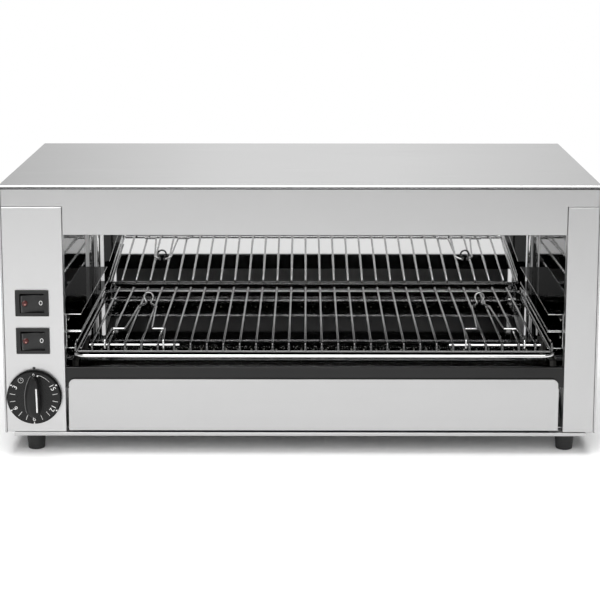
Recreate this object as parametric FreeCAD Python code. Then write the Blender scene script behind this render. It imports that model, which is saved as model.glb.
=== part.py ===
import FreeCAD, Part
import math
import os

# Counter-top toaster grill in folded stainless sheet, with a sliding wire rack over two banks
# of quartz heating tubes and a crumb tray in the floor.
# Millimetres. X runs to the right, Y from front to back, Z up from the surface under the feet.
# The origin is the middle of the body, at the bottom of the feet.

Vector = FreeCAD.Vector
LEFT, RIGHT = -1, 1
FRONT_SIDE, REAR_SIDE = -1, 1
ALONG_X = Vector(1, 0, 0)
ALONG_Y = Vector(0, 1, 0)
ALONG_Z = Vector(0, 0, 1)

# Flats that stand for the round of wires, of screws, pins and their holes, and of short tapers
WIRE_FLATS = 8
ROD_FLATS = 8
ROUND_FLATS = 32

# Body
BODY_WIDTH = 592.0
BODY_DEPTH = 300.0
BODY_HEIGHT = 251.2
FOOT_HEIGHT = 20.0
SHEET = 1.0
FOLD_RADIUS = 0.8
SEAM = 0.4
SEAT_GAP = 0.3
FLANGE = 12.0

# Top cover
COVER_OVERHANG = 0.5
COVER_GAP = 1.6
HEM_WIDTH = 8.0
HEM_NOSE = 0.9
COVER_SKIRT_INSET = 3.0

# Front
LEFT_COLUMN_WIDTH = 61.7
RIGHT_COLUMN_WIDTH = 32.8
FASCIA_STRIP_HEIGHT = 17.6
FASCIA_HEIGHT = 45.9
COLUMN_FOOT_GAP = 0.8

# Base plate and feet
BASE_RIM = 3.4
BASE_SIDE_INSET = 9.0
BASE_FRONT_INSET = 1.0
FOOT_TOP_DIAMETER = 19.7
FOOT_BOTTOM_DIAMETER = 18.0
FOOT_SIDE_INSET = 27.0
FOOT_END_INSET = 25.0
FOOT_STEM_DIAMETER = 6.0
FOOT_STEM_RISE = 3.0
VENT_SLOT_LENGTH = 28.0
VENT_SLOT_WIDTH = 3.0
VENT_SLOT_PITCH = 9.0
VENT_SLOT_COUNT = 8
VENT_SIDE_INSET = 13.0
VENT_FRONT_INSET = 70.0

# Back panel
LOUVRE_LENGTH = 42.0
LOUVRE_HEIGHT = 6.0
LOUVRE_SKIN = 0.7
LOUVRE_RISE = 3.0
LOUVRE_PITCH = 14.0
LOUVRE_COUNT = 6
LOUVRE_TOP_DROP = 50.0
LOUVRE_EDGE = 32.0
PANEL_SCREW_DIAMETER = 3.5
PANEL_SCREW_HEAD = 7.0
PANEL_SCREW_HEAD_HEIGHT = 2.0
PANEL_SCREW_LENGTH = 8.0
PANEL_SCREW_ROWS = 2
PANEL_SCREW_END_DROP = 16.0
SCREW_CLEARANCE = 0.2

# Toasting chamber
CHAMBER_DEPTH = 261.0
CHAMBER_HEIGHT = 238.6
CEILING_DROP = 22.2
LINER_CORNER_RADIUS = 4.0
LINER_FLANGE = 15.0
WALL_SEAT = 9.0

# Rack guides on the chamber walls
GUIDE_REACH = 15.2
GUIDE_HEIGHT = 17.6
GUIDE_GAP = 0.4
GUIDE_FRONT_SETBACK = 19.5
RACK_LEVEL = 106.6
GUIDE_LEVELS = 2

# Heating tubes
TUBE_DIAMETER = 20.0
TUBE_WALL = 1.5
HEATER_CORE_DIAMETER = 8.0
FRONT_TUBE_DEPTH = 92.0
REAR_TUBE_DEPTH = 172.0
LOWER_TUBE_HEIGHT = 65.0
UPPER_HOLDER_GAP = 0.5
INSULATOR_NECK_WALL = 1.5
INSULATOR_BLOCK_WALL = 3.0
INSULATOR_REACH_IN = 3.0
INSULATOR_REACH_OUT = 14.0
INSULATOR_SOCKET_END = 10.0
INSULATOR_HOLE_CLEARANCE = 0.2
TUBE_CLEARANCE = 0.1
GUARD_ROD_DIAMETER = 3.0
GUARD_ROD_DROP = 9.0
GUARD_ROD_COUNT = 3
GUARD_ROD_FRONT_DEPTH = 30.0
GUARD_ROD_REAR_GAP = 21.0

# Wire rack
RACK_LEFT_GAP = 12.3
RACK_RIGHT_GAP = 13.3
RACK_FRONT_OUT = 21.0
RACK_REAR_GAP = 17.0
RACK_CORNER_RADIUS = 7.5
FRAME_WIRE = 4.0
CROSS_WIRE = 3.0
GRID_WIRE = 2.5
GRID_COUNT = 30
GRID_RISE = 8.5
GRID_EDGE_INSET = 0.5
WELD_GAP = 0.05
FRONT_CROSS_OUT = 5.6
REAR_SUPPORT_INSET = 4.0
LEFT_BAR_LENGTH = 89.0
RIGHT_BAR_LENGTH = 91.0
LEFT_BAR_INSET = 12.65
RIGHT_BAR_INSET = 10.65

# Folding handles of the rack
HANDLE_WIRE = 2.5
HANDLE_FOOT_HALF = 29.0
HANDLE_HIP_HALF = 27.0
HANDLE_HIP_DEPTH = 44.0
HANDLE_WAIST_HALF = 13.5
HANDLE_SHOULDER_HALF = 9.5
HANDLE_SHOULDER_DEPTH = 141.0
HANDLE_NECK_HALF = 1.8
HANDLE_NECK_DEPTH = 156.0
HANDLE_RING_RADIUS = 4.9
HANDLE_RING_HEIGHT = 12.2
HOOK_CLEARANCE = 0.15
HOOK_TAIL = 1.5

# Crumb tray
TRAY_FRONT_HEIGHT = 52.7
TRAY_LEFT_GAP = 2.5
TRAY_RIGHT_GAP = 4.6
TRAY_BOTTOM_GAP = 2.6
TRAY_CORNER_RADIUS = 5.7
TRAY_HEM_DROP = 9.5
TRAY_HEM_PROUD = 0.9
TRAY_SHEET = 0.8
TRAY_WALL_HEIGHT = 14.0
TRAY_SIDE_SETBACK = 2.0
TRAY_REAR_GAP = 20.0
RUNNER_WIDTH = 13.0
RUNNER_REAR_GAP = 16.5

# Rocker switches
SWITCH_BEZEL_WIDTH = 33.2
SWITCH_BEZEL_HEIGHT = 26.3
SWITCH_BEZEL_PROUD = 2.0
SWITCH_BEZEL_EDGE = 0.8
SWITCH_BODY_WIDTH = 29.8
SWITCH_BODY_HEIGHT = 21.8
SWITCH_BODY_DEPTH = 20.0
SWITCH_CENTRE_FROM_SIDE = 30.5
UPPER_SWITCH_HEIGHT = 156.6
LOWER_SWITCH_HEIGHT = 118.2
CUTOUT_CLEARANCE = 0.2
ROCKER_RADIUS = 11.8
ROCKER_HEIGHT = 18.6
ROCKER_END_RISE = 8.2
ROCKER_DISH = 1.6
ROCKER_BACK = 4.0
ROCKER_TILT = 9.0
ROCKER_CLEARANCE = 0.5
ROCKER_PIVOT_DEPTH = 3.4
ROCKER_PIN_DIAMETER = 3.0
ROCKER_PIN_LENGTH = 0.9
PIN_CLEARANCE = 0.05
LAMP_DIAMETER = 5.0
LAMP_OFFSET = 7.2
LAMP_DEPTH = 1.5
LAMP_PROUD = 0.25
TAB_WIDTH = 6.3
TAB_THICKNESS = 0.8
TAB_LENGTH = 8.0
TAB_PITCH = 9.0
TAB_COUNT = 3

# Timer
TIMER_CENTRE_FROM_SIDE = 30.7
TIMER_HEIGHT = 61.2
TIMER_BODY_SIZE = 44.0
TIMER_BODY_DEPTH = 28.0
TIMER_BUSH_DIAMETER = 9.0
TIMER_BUSH_PROUD = 0.6
TIMER_SHAFT_DIAMETER = 6.0
TIMER_SHAFT_FLAT = 1.5
TIMER_SHAFT_IN = 18.0
TIMER_SHAFT_CLEARANCE = 0.05
KNOB_DIAMETER = 54.6
KNOB_DISC = 5.0
KNOB_GAP = 1.0
KNOB_EDGE = 1.0
KNOB_SHAFT_DEPTH = 13.0
GRIP_RISE = 14.0
GRIP_WIDTH = 14.4
GRIP_LENGTH = 38.0
GRIP_TOP_WIDTH = 7.0
GRIP_TOP_LENGTH = 33.0
GRIP_SHOULDER_WIDTH = 0.72
GRIP_SHOULDER_HEIGHT = 0.24
GRIP_ROUND_FLATS = 4

# Mains entry
GLAND_OUT = 23.0
GLAND_CENTRE_FROM_SIDE = 31.0
GLAND_HEIGHT = 52.0
GLAND_BORE = 9.0
GLAND_THREAD = 16.0
GLAND_HEX = 22.0
GLAND_HEX_LENGTH = 8.0
GLAND_DOME_DIAMETER = 19.0
GLAND_DOME_TIP = 13.0
GLAND_INSIDE = 11.0
LOCKNUT_WIDTH = 22.0
LOCKNUT_HEIGHT = 5.0
TERMINAL_LENGTH = 48.0
TERMINAL_WIDTH = 20.0
TERMINAL_HEIGHT = 18.0
TERMINAL_SHELF = 7.0
TERMINAL_WAYS = 3
TERMINAL_TOWER = 12.0
TERMINAL_WELL = 6.0
TERMINAL_WALL_GAP = 14.0
TERMINAL_REAR_INSET = 100.0

# Places worked out from the sizes
FRONT = -BODY_DEPTH / 2
BACK = BODY_DEPTH / 2
HALF_WIDTH = BODY_WIDTH / 2
HEM = 2 * SHEET
BASE_TOP = FOOT_HEIGHT + BASE_RIM
BODY_TOP = FOOT_HEIGHT + BODY_HEIGHT
COVER_TOP = BODY_TOP + COVER_GAP + HEM
OPENING_LEFT = -HALF_WIDTH + LEFT_COLUMN_WIDTH
OPENING_RIGHT = HALF_WIDTH - RIGHT_COLUMN_WIDTH
OPENING_TOP = BODY_TOP - FASCIA_HEIGHT
STRIP_BOTTOM = BODY_TOP - FASCIA_STRIP_HEIGHT
COLUMN_TOP = STRIP_BOTTOM - SEAM
COLUMN_BOTTOM = BASE_TOP + COLUMN_FOOT_GAP
PANEL_SIDE = HALF_WIDTH - HEM - SEAM / 2

WALL_LEFT = OPENING_LEFT - SHEET
WALL_RIGHT = OPENING_RIGHT + SHEET
WALL_FRONT = FRONT + FLANGE + SEAT_GAP
CHAMBER_BACK = FRONT + CHAMBER_DEPTH
CHAMBER_TOP = BASE_TOP + CHAMBER_HEIGHT
CEILING = BODY_TOP - CEILING_DROP + SHEET
INSULATOR_NECK = TUBE_DIAMETER + 2 * INSULATOR_NECK_WALL
INSULATOR_BLOCK = TUBE_DIAMETER + 2 * INSULATOR_BLOCK_WALL
UPPER_TUBE_Z = CEILING - UPPER_HOLDER_GAP - INSULATOR_NECK / 2

GUIDE_FRONT = FRONT + GUIDE_FRONT_SETBACK
GUIDE_REAR = CHAMBER_BACK - LINER_FLANGE - SEAT_GAP

RACK_LEFT = OPENING_LEFT + RACK_LEFT_GAP
RACK_RIGHT = OPENING_RIGHT - RACK_RIGHT_GAP
RACK_FRONT = FRONT - RACK_FRONT_OUT
RACK_REAR = CHAMBER_BACK - RACK_REAR_GAP
FRAME_Z = RACK_LEVEL + FRAME_WIRE / 2
GRID_Z = FRAME_Z + GRID_RISE
CROSS_Z = GRID_Z - GRID_WIRE / 2 - CROSS_WIRE / 2 - WELD_GAP
FRONT_CROSS_Y = FRONT - FRONT_CROSS_OUT
HINGE_Y = FRONT
HANDLE_Z = GRID_Z + GRID_WIRE / 2 + HANDLE_WIRE / 2 + SEAT_GAP

TRAY_FRONT_BOTTOM = BASE_TOP + TRAY_BOTTOM_GAP
TRAY_FRONT_TOP = TRAY_FRONT_BOTTOM + TRAY_FRONT_HEIGHT
TRAY_LEFT = OPENING_LEFT + TRAY_LEFT_GAP
TRAY_RIGHT = OPENING_RIGHT - TRAY_RIGHT_GAP
PAN_BOTTOM = TRAY_FRONT_BOTTOM + SEAT_GAP

SWITCH_X = -HALF_WIDTH + SWITCH_CENTRE_FROM_SIDE
TIMER_X = -HALF_WIDTH + TIMER_CENTRE_FROM_SIDE
GLAND_X = -HALF_WIDTH + GLAND_CENTRE_FROM_SIDE


def box(x_range, y_range, z_range):
    """A block between two values on each axis, given in either order."""
    lows = [min(pair) for pair in (x_range, y_range, z_range)]
    highs = [max(pair) for pair in (x_range, y_range, z_range)]
    sizes = [high - low for low, high in zip(lows, highs)]
    return Part.makeBox(sizes[0], sizes[1], sizes[2], Vector(*lows))


def rod(start, direction, diameter, length):
    """A round bar from a point, along a direction."""
    return Part.makeCylinder(diameter / 2, length, start, direction)


def flat_sided_rod(start, direction, diameter, length):
    """A small round bar or hole drawn with flats, its corners on the round."""
    outline = polygon_around(start, direction, diameter / 2, ROD_FLATS)
    return Part.Face(outline).extrude(direction * length)


def many_sided_cone(start, direction, start_diameter, end_diameter, length):
    """A short round taper drawn with flats."""
    near = polygon_around(start, direction, start_diameter / 2, ROUND_FLATS)
    far = polygon_around(start + direction * length, direction, end_diameter / 2, ROUND_FLATS)
    near_points = [vertex.Point for vertex in near.OrderedVertexes]
    far_points = [vertex.Point for vertex in far.OrderedVertexes]
    faces = [Part.Face(near), Part.Face(far)]
    for index in range(ROUND_FLATS):
        after = (index + 1) % ROUND_FLATS
        corners = [near_points[index], near_points[after], far_points[after], far_points[index]]
        faces.append(Part.Face(Part.makePolygon(corners + corners[:1])))
    return Part.makeSolid(Part.makeShell(faces))


def fused(pieces):
    """One solid out of touching pieces, with the joins between coplanar faces removed."""
    return pieces[0].multiFuse(pieces[1:]).removeSplitter()


def edges_on_plane(shape, axis, value):
    """The edges that lie wholly on the plane where one coordinate has a value."""
    found = []
    for edge in shape.Edges:
        bounds = edge.BoundBox
        low = getattr(bounds, axis + "Min")
        high = getattr(bounds, axis + "Max")
        if abs(low - value) < 1e-3 and abs(high - value) < 1e-3:
            found.append(edge)
    return found


def upright_edges(shape, x_value, y_value):
    """The vertical edges at one place in plan."""
    found = []
    for edge in shape.Edges:
        bounds = edge.BoundBox
        at_x = abs(bounds.XMin - x_value) < 1e-3 and abs(bounds.XMax - x_value) < 1e-3
        at_y = abs(bounds.YMin - y_value) < 1e-3 and abs(bounds.YMax - y_value) < 1e-3
        if at_x and at_y and bounds.ZLength > 1.0:
            found.append(edge)
    return found


def polygon_around(centre, direction, corner_radius, sides):
    """A closed polygon across a direction, with flats that face along the axes."""
    turn = FreeCAD.Rotation(ALONG_Z, direction)
    points = []
    for step in range(sides):
        angle = 2 * math.pi * (step + 0.5) / sides
        local = Vector(math.cos(angle), math.sin(angle), 0) * corner_radius
        points.append(centre + turn.multVec(local))
    return Part.makePolygon(points + points[:1])


def bent_wire(points, diameter):
    """A wire of straight runs that meet in sharp bends."""
    edges = [Part.makeLine(a, b) for a, b in zip(points, points[1:])]
    return swept_wire(edges, points[0], points[1] - points[0], diameter)


def swept_wire(edges, start, direction, diameter):
    """A wire along a chain of lines and arcs, drawn with flats and with the round wire's own section area."""
    share = 2 * math.pi / WIRE_FLATS
    corner_radius = diameter / 2 * math.sqrt(share / math.sin(share))
    section = polygon_around(start, direction, corner_radius, WIRE_FLATS)
    sweep = Part.BRepOffsetAPI.MakePipeShell(Part.Wire(edges))
    sweep.setTransitionMode(1)
    sweep.add(section, False, False)
    sweep.build()
    sweep.makeSolid()
    return sweep.shape()


def hexagon(centre, direction, width, height):
    """A hexagonal prism, measured across its flats."""
    outline = polygon_around(centre, direction, width / math.sqrt(3), 6)
    return Part.Face(outline).extrude(direction * height)


# Top cover: a sheet with hemmed edges, held off the body by a skirt set in from its edge
def make_top_cover():
    x_range = (-HALF_WIDTH, HALF_WIDTH)
    y_range = (FRONT - COVER_OVERHANG, BACK)
    rim_bottom = COVER_TOP - HEM
    plate = box(x_range, y_range, (rim_bottom, COVER_TOP))
    hollow = box((x_range[0] + HEM_WIDTH, x_range[1] - HEM_WIDTH),
                 (y_range[0] + HEM_WIDTH, y_range[1] - HEM_WIDTH),
                 (rim_bottom, COVER_TOP - SHEET))
    plate = plate.cut(hollow)
    rim_edges = edges_on_plane(plate, "Y", y_range[0])
    rim_edges += edges_on_plane(plate, "X", x_range[0])
    rim_edges += edges_on_plane(plate, "X", x_range[1])
    nose = [edge for edge in rim_edges if edge.BoundBox.ZLength < SHEET / 2]
    plate = plate.makeFillet(HEM_NOSE, nose)
    inset = COVER_SKIRT_INSET
    skirt = box((x_range[0] + inset, x_range[1] - inset),
                (FRONT + inset, BACK - inset), (BODY_TOP, rim_bottom))
    inside = inset + SHEET
    skirt_hole = box((x_range[0] + inside, x_range[1] - inside),
                     (FRONT + inside, BACK - inside), (BODY_TOP, rim_bottom))
    return fused([plate, skirt.cut(skirt_hole)])


# Front fascia: a strip across the whole front and a deeper part over the opening
def make_front_fascia():
    strip = ((-PANEL_SIDE, PANEL_SIDE), (STRIP_BOTTOM, BODY_TOP))
    apron = ((OPENING_LEFT + SEAM, OPENING_RIGHT - SEAM), (OPENING_TOP, BODY_TOP))
    shell = [box(x_range, (FRONT, FRONT + FLANGE), z_range) for x_range, z_range in (strip, apron)]
    outer = fused(shell)
    outer = outer.makeFillet(FOLD_RADIUS, edges_on_plane(outer, "Y", FRONT))
    hollows = []
    for x_range, z_range in (strip, apron):
        hollows.append(box((x_range[0] + SHEET, x_range[1] - SHEET),
                           (FRONT + SHEET, FRONT + FLANGE),
                           (z_range[0] + SHEET, BODY_TOP - SHEET)))
    return outer.cut(fused(hollows))


def folded_column(x_range):
    """A shallow pan that stands upright, with its rim towards the back."""
    outer = box(x_range, (FRONT, FRONT + FLANGE), (COLUMN_BOTTOM, COLUMN_TOP))
    outer = outer.makeFillet(FOLD_RADIUS, edges_on_plane(outer, "Y", FRONT))
    hollow = box((x_range[0] + SHEET, x_range[1] - SHEET),
                 (FRONT + SHEET, FRONT + FLANGE),
                 (COLUMN_BOTTOM + SHEET, COLUMN_TOP - SHEET))
    return outer.cut(hollow)


# Control panel: the left column, cut out for the two switches and the timer
def make_control_panel():
    panel = folded_column((-PANEL_SIDE, OPENING_LEFT))
    through = (FRONT - SHEET, FRONT + 2 * SHEET)
    half_width = SWITCH_BODY_WIDTH / 2 + CUTOUT_CLEARANCE
    half_height = SWITCH_BODY_HEIGHT / 2 + CUTOUT_CLEARANCE
    for height in (UPPER_SWITCH_HEIGHT, LOWER_SWITCH_HEIGHT):
        panel = panel.cut(box((SWITCH_X - half_width, SWITCH_X + half_width), through,
                              (height - half_height, height + half_height)))
    drill = Vector(TIMER_X, through[0], TIMER_HEIGHT)
    drill_length = through[1] - through[0]
    return panel.cut(rod(drill, ALONG_Y, TIMER_BUSH_DIAMETER + 2 * CUTOUT_CLEARANCE, drill_length))


def panel_screw_places():
    """Where the back panel is screwed to the side panels' rear flanges."""
    low = BASE_TOP + PANEL_SCREW_END_DROP
    high = BODY_TOP - PANEL_SCREW_END_DROP
    places = []
    for side in (LEFT, RIGHT):
        x = side * (HALF_WIDTH - SHEET - FLANGE / 2)
        for row in range(PANEL_SCREW_ROWS):
            z = low + (high - low) * row / (PANEL_SCREW_ROWS - 1)
            places.append(Vector(x, BACK, z))
    return places


# Side panels: a sheet hemmed at its front edge, with flanges turned in at the top, bottom and back
def make_side_panel(side):
    outside = side * HALF_WIDTH
    inside = side * (HALF_WIDTH - SHEET)
    z_range = (BASE_TOP, BODY_TOP)
    wall = box((outside, inside), (FRONT, BACK - SHEET), z_range)
    hem = box((inside, side * (HALF_WIDTH - HEM)), (FRONT, FRONT + HEM_WIDTH), z_range)
    leaf = fused([wall, hem])
    nose = upright_edges(leaf, outside, FRONT) + upright_edges(leaf, side * (HALF_WIDTH - HEM), FRONT)
    leaf = leaf.makeFillet(HEM_NOSE, nose)
    flange_x = (inside, side * (HALF_WIDTH - SHEET - FLANGE))
    flange_y = (FRONT + FLANGE + SHEET, BACK - SHEET)
    seat_x = (inside, side * (HALF_WIDTH - BASE_SIDE_INSET - FLANGE))
    top = box(flange_x, flange_y, (BODY_TOP - SHEET, BODY_TOP))
    bottom = box(seat_x, flange_y, (BASE_TOP, BASE_TOP + SHEET))
    rear = box(flange_x, (BACK - 2 * SHEET, BACK - SHEET), z_range)
    panel = fused([leaf, top, bottom, rear])
    for place in panel_screw_places():
        if place.x * side > 0:
            start = place - ALONG_Y * 3 * SHEET
            hole = flat_sided_rod(start, ALONG_Y, PANEL_SCREW_DIAMETER + 2 * SCREW_CLEARANCE, 3 * SHEET)
            panel = panel.cut(hole)
    return panel


def louvre_places():
    """Lower left corners of the louvres, in two columns behind the control space and the right gap."""
    places = []
    columns = (-HALF_WIDTH + LOUVRE_EDGE, HALF_WIDTH - LOUVRE_EDGE - LOUVRE_LENGTH)
    for x in columns:
        for row in range(LOUVRE_COUNT):
            z = BODY_TOP - LOUVRE_TOP_DROP - row * LOUVRE_PITCH
            places.append(Vector(x, BACK, z))
    return places


def louvre_hood(place):
    """A pressed hood that is open at its lower edge."""
    def wedge(inset):
        points = [Vector(place.x + inset, BACK - SHEET, place.z + LOUVRE_HEIGHT - inset),
                  Vector(place.x + inset, BACK + LOUVRE_RISE - inset, place.z),
                  Vector(place.x + inset, BACK - SHEET, place.z)]
        face = Part.Face(Part.makePolygon(points + points[:1]))
        return face.extrude(ALONG_X * (LOUVRE_LENGTH - 2 * inset))
    return wedge(0), wedge(LOUVRE_SKIN)


# Back panel: a flat sheet with louvres, screw holes and the mains entry
def make_back_panel():
    panel = box((-HALF_WIDTH, HALF_WIDTH), (BACK - SHEET, BACK), (COLUMN_BOTTOM, BODY_TOP))
    hoods = []
    hollows = []
    for place in louvre_places():
        hood, hollow = louvre_hood(place)
        hoods.append(hood)
        hollows.append(hollow)
    panel = fused([panel] + hoods).cut(Part.makeCompound(hollows))
    for place in panel_screw_places():
        start = place - ALONG_Y * 2 * SHEET
        hole = flat_sided_rod(start, ALONG_Y, PANEL_SCREW_DIAMETER + 2 * SCREW_CLEARANCE, 3 * SHEET)
        panel = panel.cut(hole)
    entry = Vector(GLAND_X, BACK - 2 * SHEET, GLAND_HEIGHT)
    return panel.cut(flat_sided_rod(entry, ALONG_Y, GLAND_THREAD + 2 * CUTOUT_CLEARANCE, 3 * SHEET))


def make_panel_screws():
    screws = []
    for place in panel_screw_places():
        head = hexagon(place, ALONG_Y, PANEL_SCREW_HEAD, PANEL_SCREW_HEAD_HEIGHT)
        shank = flat_sided_rod(place, -ALONG_Y, PANEL_SCREW_DIAMETER, PANEL_SCREW_LENGTH)
        screws.append(fused([head, shank]))
    return Part.makeCompound(screws)


def foot_places():
    """Plan positions of the four feet."""
    x = HALF_WIDTH - FOOT_SIDE_INSET
    y = BODY_DEPTH / 2 - FOOT_END_INSET
    return [Vector(side * x, end * y, 0) for side in (LEFT, RIGHT) for end in (FRONT_SIDE, REAR_SIDE)]


# Base plate: a sheet with a rim turned down all round, slots for cooling air and holes for the feet
def make_base_plate():
    x_range = (-HALF_WIDTH + BASE_SIDE_INSET, HALF_WIDTH - BASE_SIDE_INSET)
    y_range = (FRONT + BASE_FRONT_INSET, BACK - 2 * SHEET - SEAT_GAP)
    outer = box(x_range, y_range, (FOOT_HEIGHT, BASE_TOP))
    outer = outer.makeFillet(FOLD_RADIUS, edges_on_plane(outer, "Z", BASE_TOP))
    hollow = box((x_range[0] + SHEET, x_range[1] - SHEET),
                 (y_range[0] + SHEET, y_range[1] - SHEET), (FOOT_HEIGHT, BASE_TOP - SHEET))
    plate = outer.cut(hollow)
    below = BASE_TOP - 2 * SHEET
    cuts = []
    for place in foot_places():
        hole = flat_sided_rod(place + ALONG_Z * below, ALONG_Z, FOOT_STEM_DIAMETER + 2 * PIN_CLEARANCE, 3 * SHEET)
        cuts.append(hole)
    slot_x = -HALF_WIDTH + BASE_SIDE_INSET + VENT_SIDE_INSET
    for index in range(VENT_SLOT_COUNT):
        y = FRONT + VENT_FRONT_INSET + index * VENT_SLOT_PITCH
        cuts.append(box((slot_x, slot_x + VENT_SLOT_LENGTH), (y, y + VENT_SLOT_WIDTH), (below, BASE_TOP + SHEET)))
    return plate.cut(Part.makeCompound(cuts))


# Feet: tapered rubber with a stem that is pressed through the base plate
def make_feet():
    shoulder = BASE_TOP - SHEET
    feet = []
    for place in foot_places():
        pad = many_sided_cone(place, ALONG_Z, FOOT_BOTTOM_DIAMETER, FOOT_TOP_DIAMETER, shoulder)
        stem = flat_sided_rod(place + ALONG_Z * shoulder, ALONG_Z, FOOT_STEM_DIAMETER, SHEET + FOOT_STEM_RISE)
        feet.append(fused([pad, stem]))
    return Part.makeCompound(feet)


def tube_places():
    """Depth and height of each heating tube by name."""
    front = FRONT + FRONT_TUBE_DEPTH
    rear = FRONT + REAR_TUBE_DEPTH
    return {
        "lower_front": (front, LOWER_TUBE_HEIGHT),
        "lower_rear": (rear, LOWER_TUBE_HEIGHT),
        "upper_front": (front, UPPER_TUBE_Z),
        "upper_rear": (rear, UPPER_TUBE_Z),
    }


def guard_rod_depths():
    front = FRONT + GUARD_ROD_FRONT_DEPTH
    step = (CHAMBER_BACK - GUARD_ROD_REAR_GAP - front) / (GUARD_ROD_COUNT - 1)
    return [front + step * index for index in range(GUARD_ROD_COUNT)]


def guide_floor(level):
    """Underside of a guide, counted from the lower one."""
    return RACK_LEVEL - SHEET + level * (GUIDE_HEIGHT + GUIDE_GAP)


# Chamber side walls: sheets that carry the tubes, the guard rods and the rack guides
def make_chamber_side(side):
    inner = WALL_LEFT if side == LEFT else WALL_RIGHT
    outer = inner + side * SHEET
    y_range = (WALL_FRONT, CHAMBER_BACK + SHEET)
    wall = box((inner, outer), y_range, (BASE_TOP, CHAMBER_TOP))
    seat_front = FRONT + FOOT_END_INSET + FOOT_STEM_DIAMETER
    bottom = box((inner, inner + side * WALL_SEAT), (seat_front, y_range[1]), (BASE_TOP, BASE_TOP + SHEET))
    wall = fused([wall, bottom])
    half = INSULATOR_NECK / 2 + INSULATOR_HOLE_CLEARANCE
    cuts = []
    for y, z in tube_places().values():
        cuts.append(box((inner - side * SHEET, outer + side * SHEET), (y - half, y + half), (z - half, z + half)))
    return wall.cut(Part.makeCompound(cuts))


# Chamber back wall: a sheet whose sides turn forward in a round bend, inside the side walls
def make_chamber_back():
    z_range = (BASE_TOP, CEILING - SEAT_GAP)
    outer = box((WALL_LEFT, WALL_RIGHT), (CHAMBER_BACK - LINER_FLANGE, CHAMBER_BACK + SHEET), z_range)
    corners = upright_edges(outer, WALL_LEFT, CHAMBER_BACK + SHEET)
    corners += upright_edges(outer, WALL_RIGHT, CHAMBER_BACK + SHEET)
    outer = outer.makeFillet(LINER_CORNER_RADIUS + SHEET, corners)
    inner_left = WALL_LEFT + SHEET
    inner_right = WALL_RIGHT - SHEET
    inner = box((inner_left, inner_right), (CHAMBER_BACK - LINER_FLANGE - SHEET, CHAMBER_BACK), z_range)
    corners = upright_edges(inner, inner_left, CHAMBER_BACK) + upright_edges(inner, inner_right, CHAMBER_BACK)
    return outer.cut(inner.makeFillet(LINER_CORNER_RADIUS, corners))


# Ceiling: the reflector over the upper tubes, with edges turned up against the walls
def make_chamber_ceiling():
    x_range = (WALL_LEFT, WALL_RIGHT)
    y_range = (WALL_FRONT, CHAMBER_BACK + SHEET)
    outer = box(x_range, y_range, (CEILING, CHAMBER_TOP))
    outer = outer.makeFillet(FOLD_RADIUS, edges_on_plane(outer, "Z", CEILING))
    hollow = box((x_range[0] + SHEET, x_range[1] - SHEET),
                 (y_range[0] + SHEET, y_range[1] - SHEET), (CEILING + SHEET, CHAMBER_TOP))
    return outer.cut(hollow)


# Rack guides: channels that open towards the middle of the chamber
def make_guide(side, level):
    wall = WALL_LEFT if side == LEFT else WALL_RIGHT
    floor = guide_floor(level)
    y_range = (GUIDE_FRONT, GUIDE_REAR)
    outer = box((wall, wall - side * GUIDE_REACH), y_range, (floor, floor + GUIDE_HEIGHT))
    hollow = box((wall - side * SHEET, wall - side * GUIDE_REACH), y_range,
                 (floor + SHEET, floor + GUIDE_HEIGHT - SHEET))
    return outer.cut(hollow)


# Tray runners: hat strips on the base plate, one along each chamber wall
def make_tray_runner(side):
    wall = WALL_LEFT if side == LEFT else WALL_RIGHT
    y_range = (WALL_FRONT, CHAMBER_BACK - RUNNER_REAR_GAP)
    outer = box((wall, wall - side * RUNNER_WIDTH), y_range, (BASE_TOP, TRAY_FRONT_BOTTOM))
    hollow = box((wall - side * SHEET, wall - side * (RUNNER_WIDTH - SHEET)), y_range,
                 (BASE_TOP, TRAY_FRONT_BOTTOM - SHEET))
    return outer.cut(hollow)


# Heating tubes: quartz tubes across the chamber, with a core and ceramic ends in the walls
def tube_end(side):
    """X of a tube's end, just short of the bottom of its socket."""
    outer_face = (WALL_LEFT if side == LEFT else WALL_RIGHT) + side * SHEET
    return outer_face + side * (INSULATOR_SOCKET_END - WELD_GAP)


def make_heating_tube(name):
    y, z = tube_places()[name]
    start = Vector(tube_end(LEFT), y, z)
    length = tube_end(RIGHT) - tube_end(LEFT)
    outer = rod(start, ALONG_X, TUBE_DIAMETER, length)
    return outer.cut(rod(start, ALONG_X, TUBE_DIAMETER - 2 * TUBE_WALL, length))


def make_heater_cores():
    cores = []
    for y, z in tube_places().values():
        start = Vector(tube_end(LEFT), y, z)
        end = Vector(tube_end(RIGHT), y, z)
        cores.append(bent_wire([start, end], HEATER_CORE_DIAMETER))
    return Part.makeCompound(cores)


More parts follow.
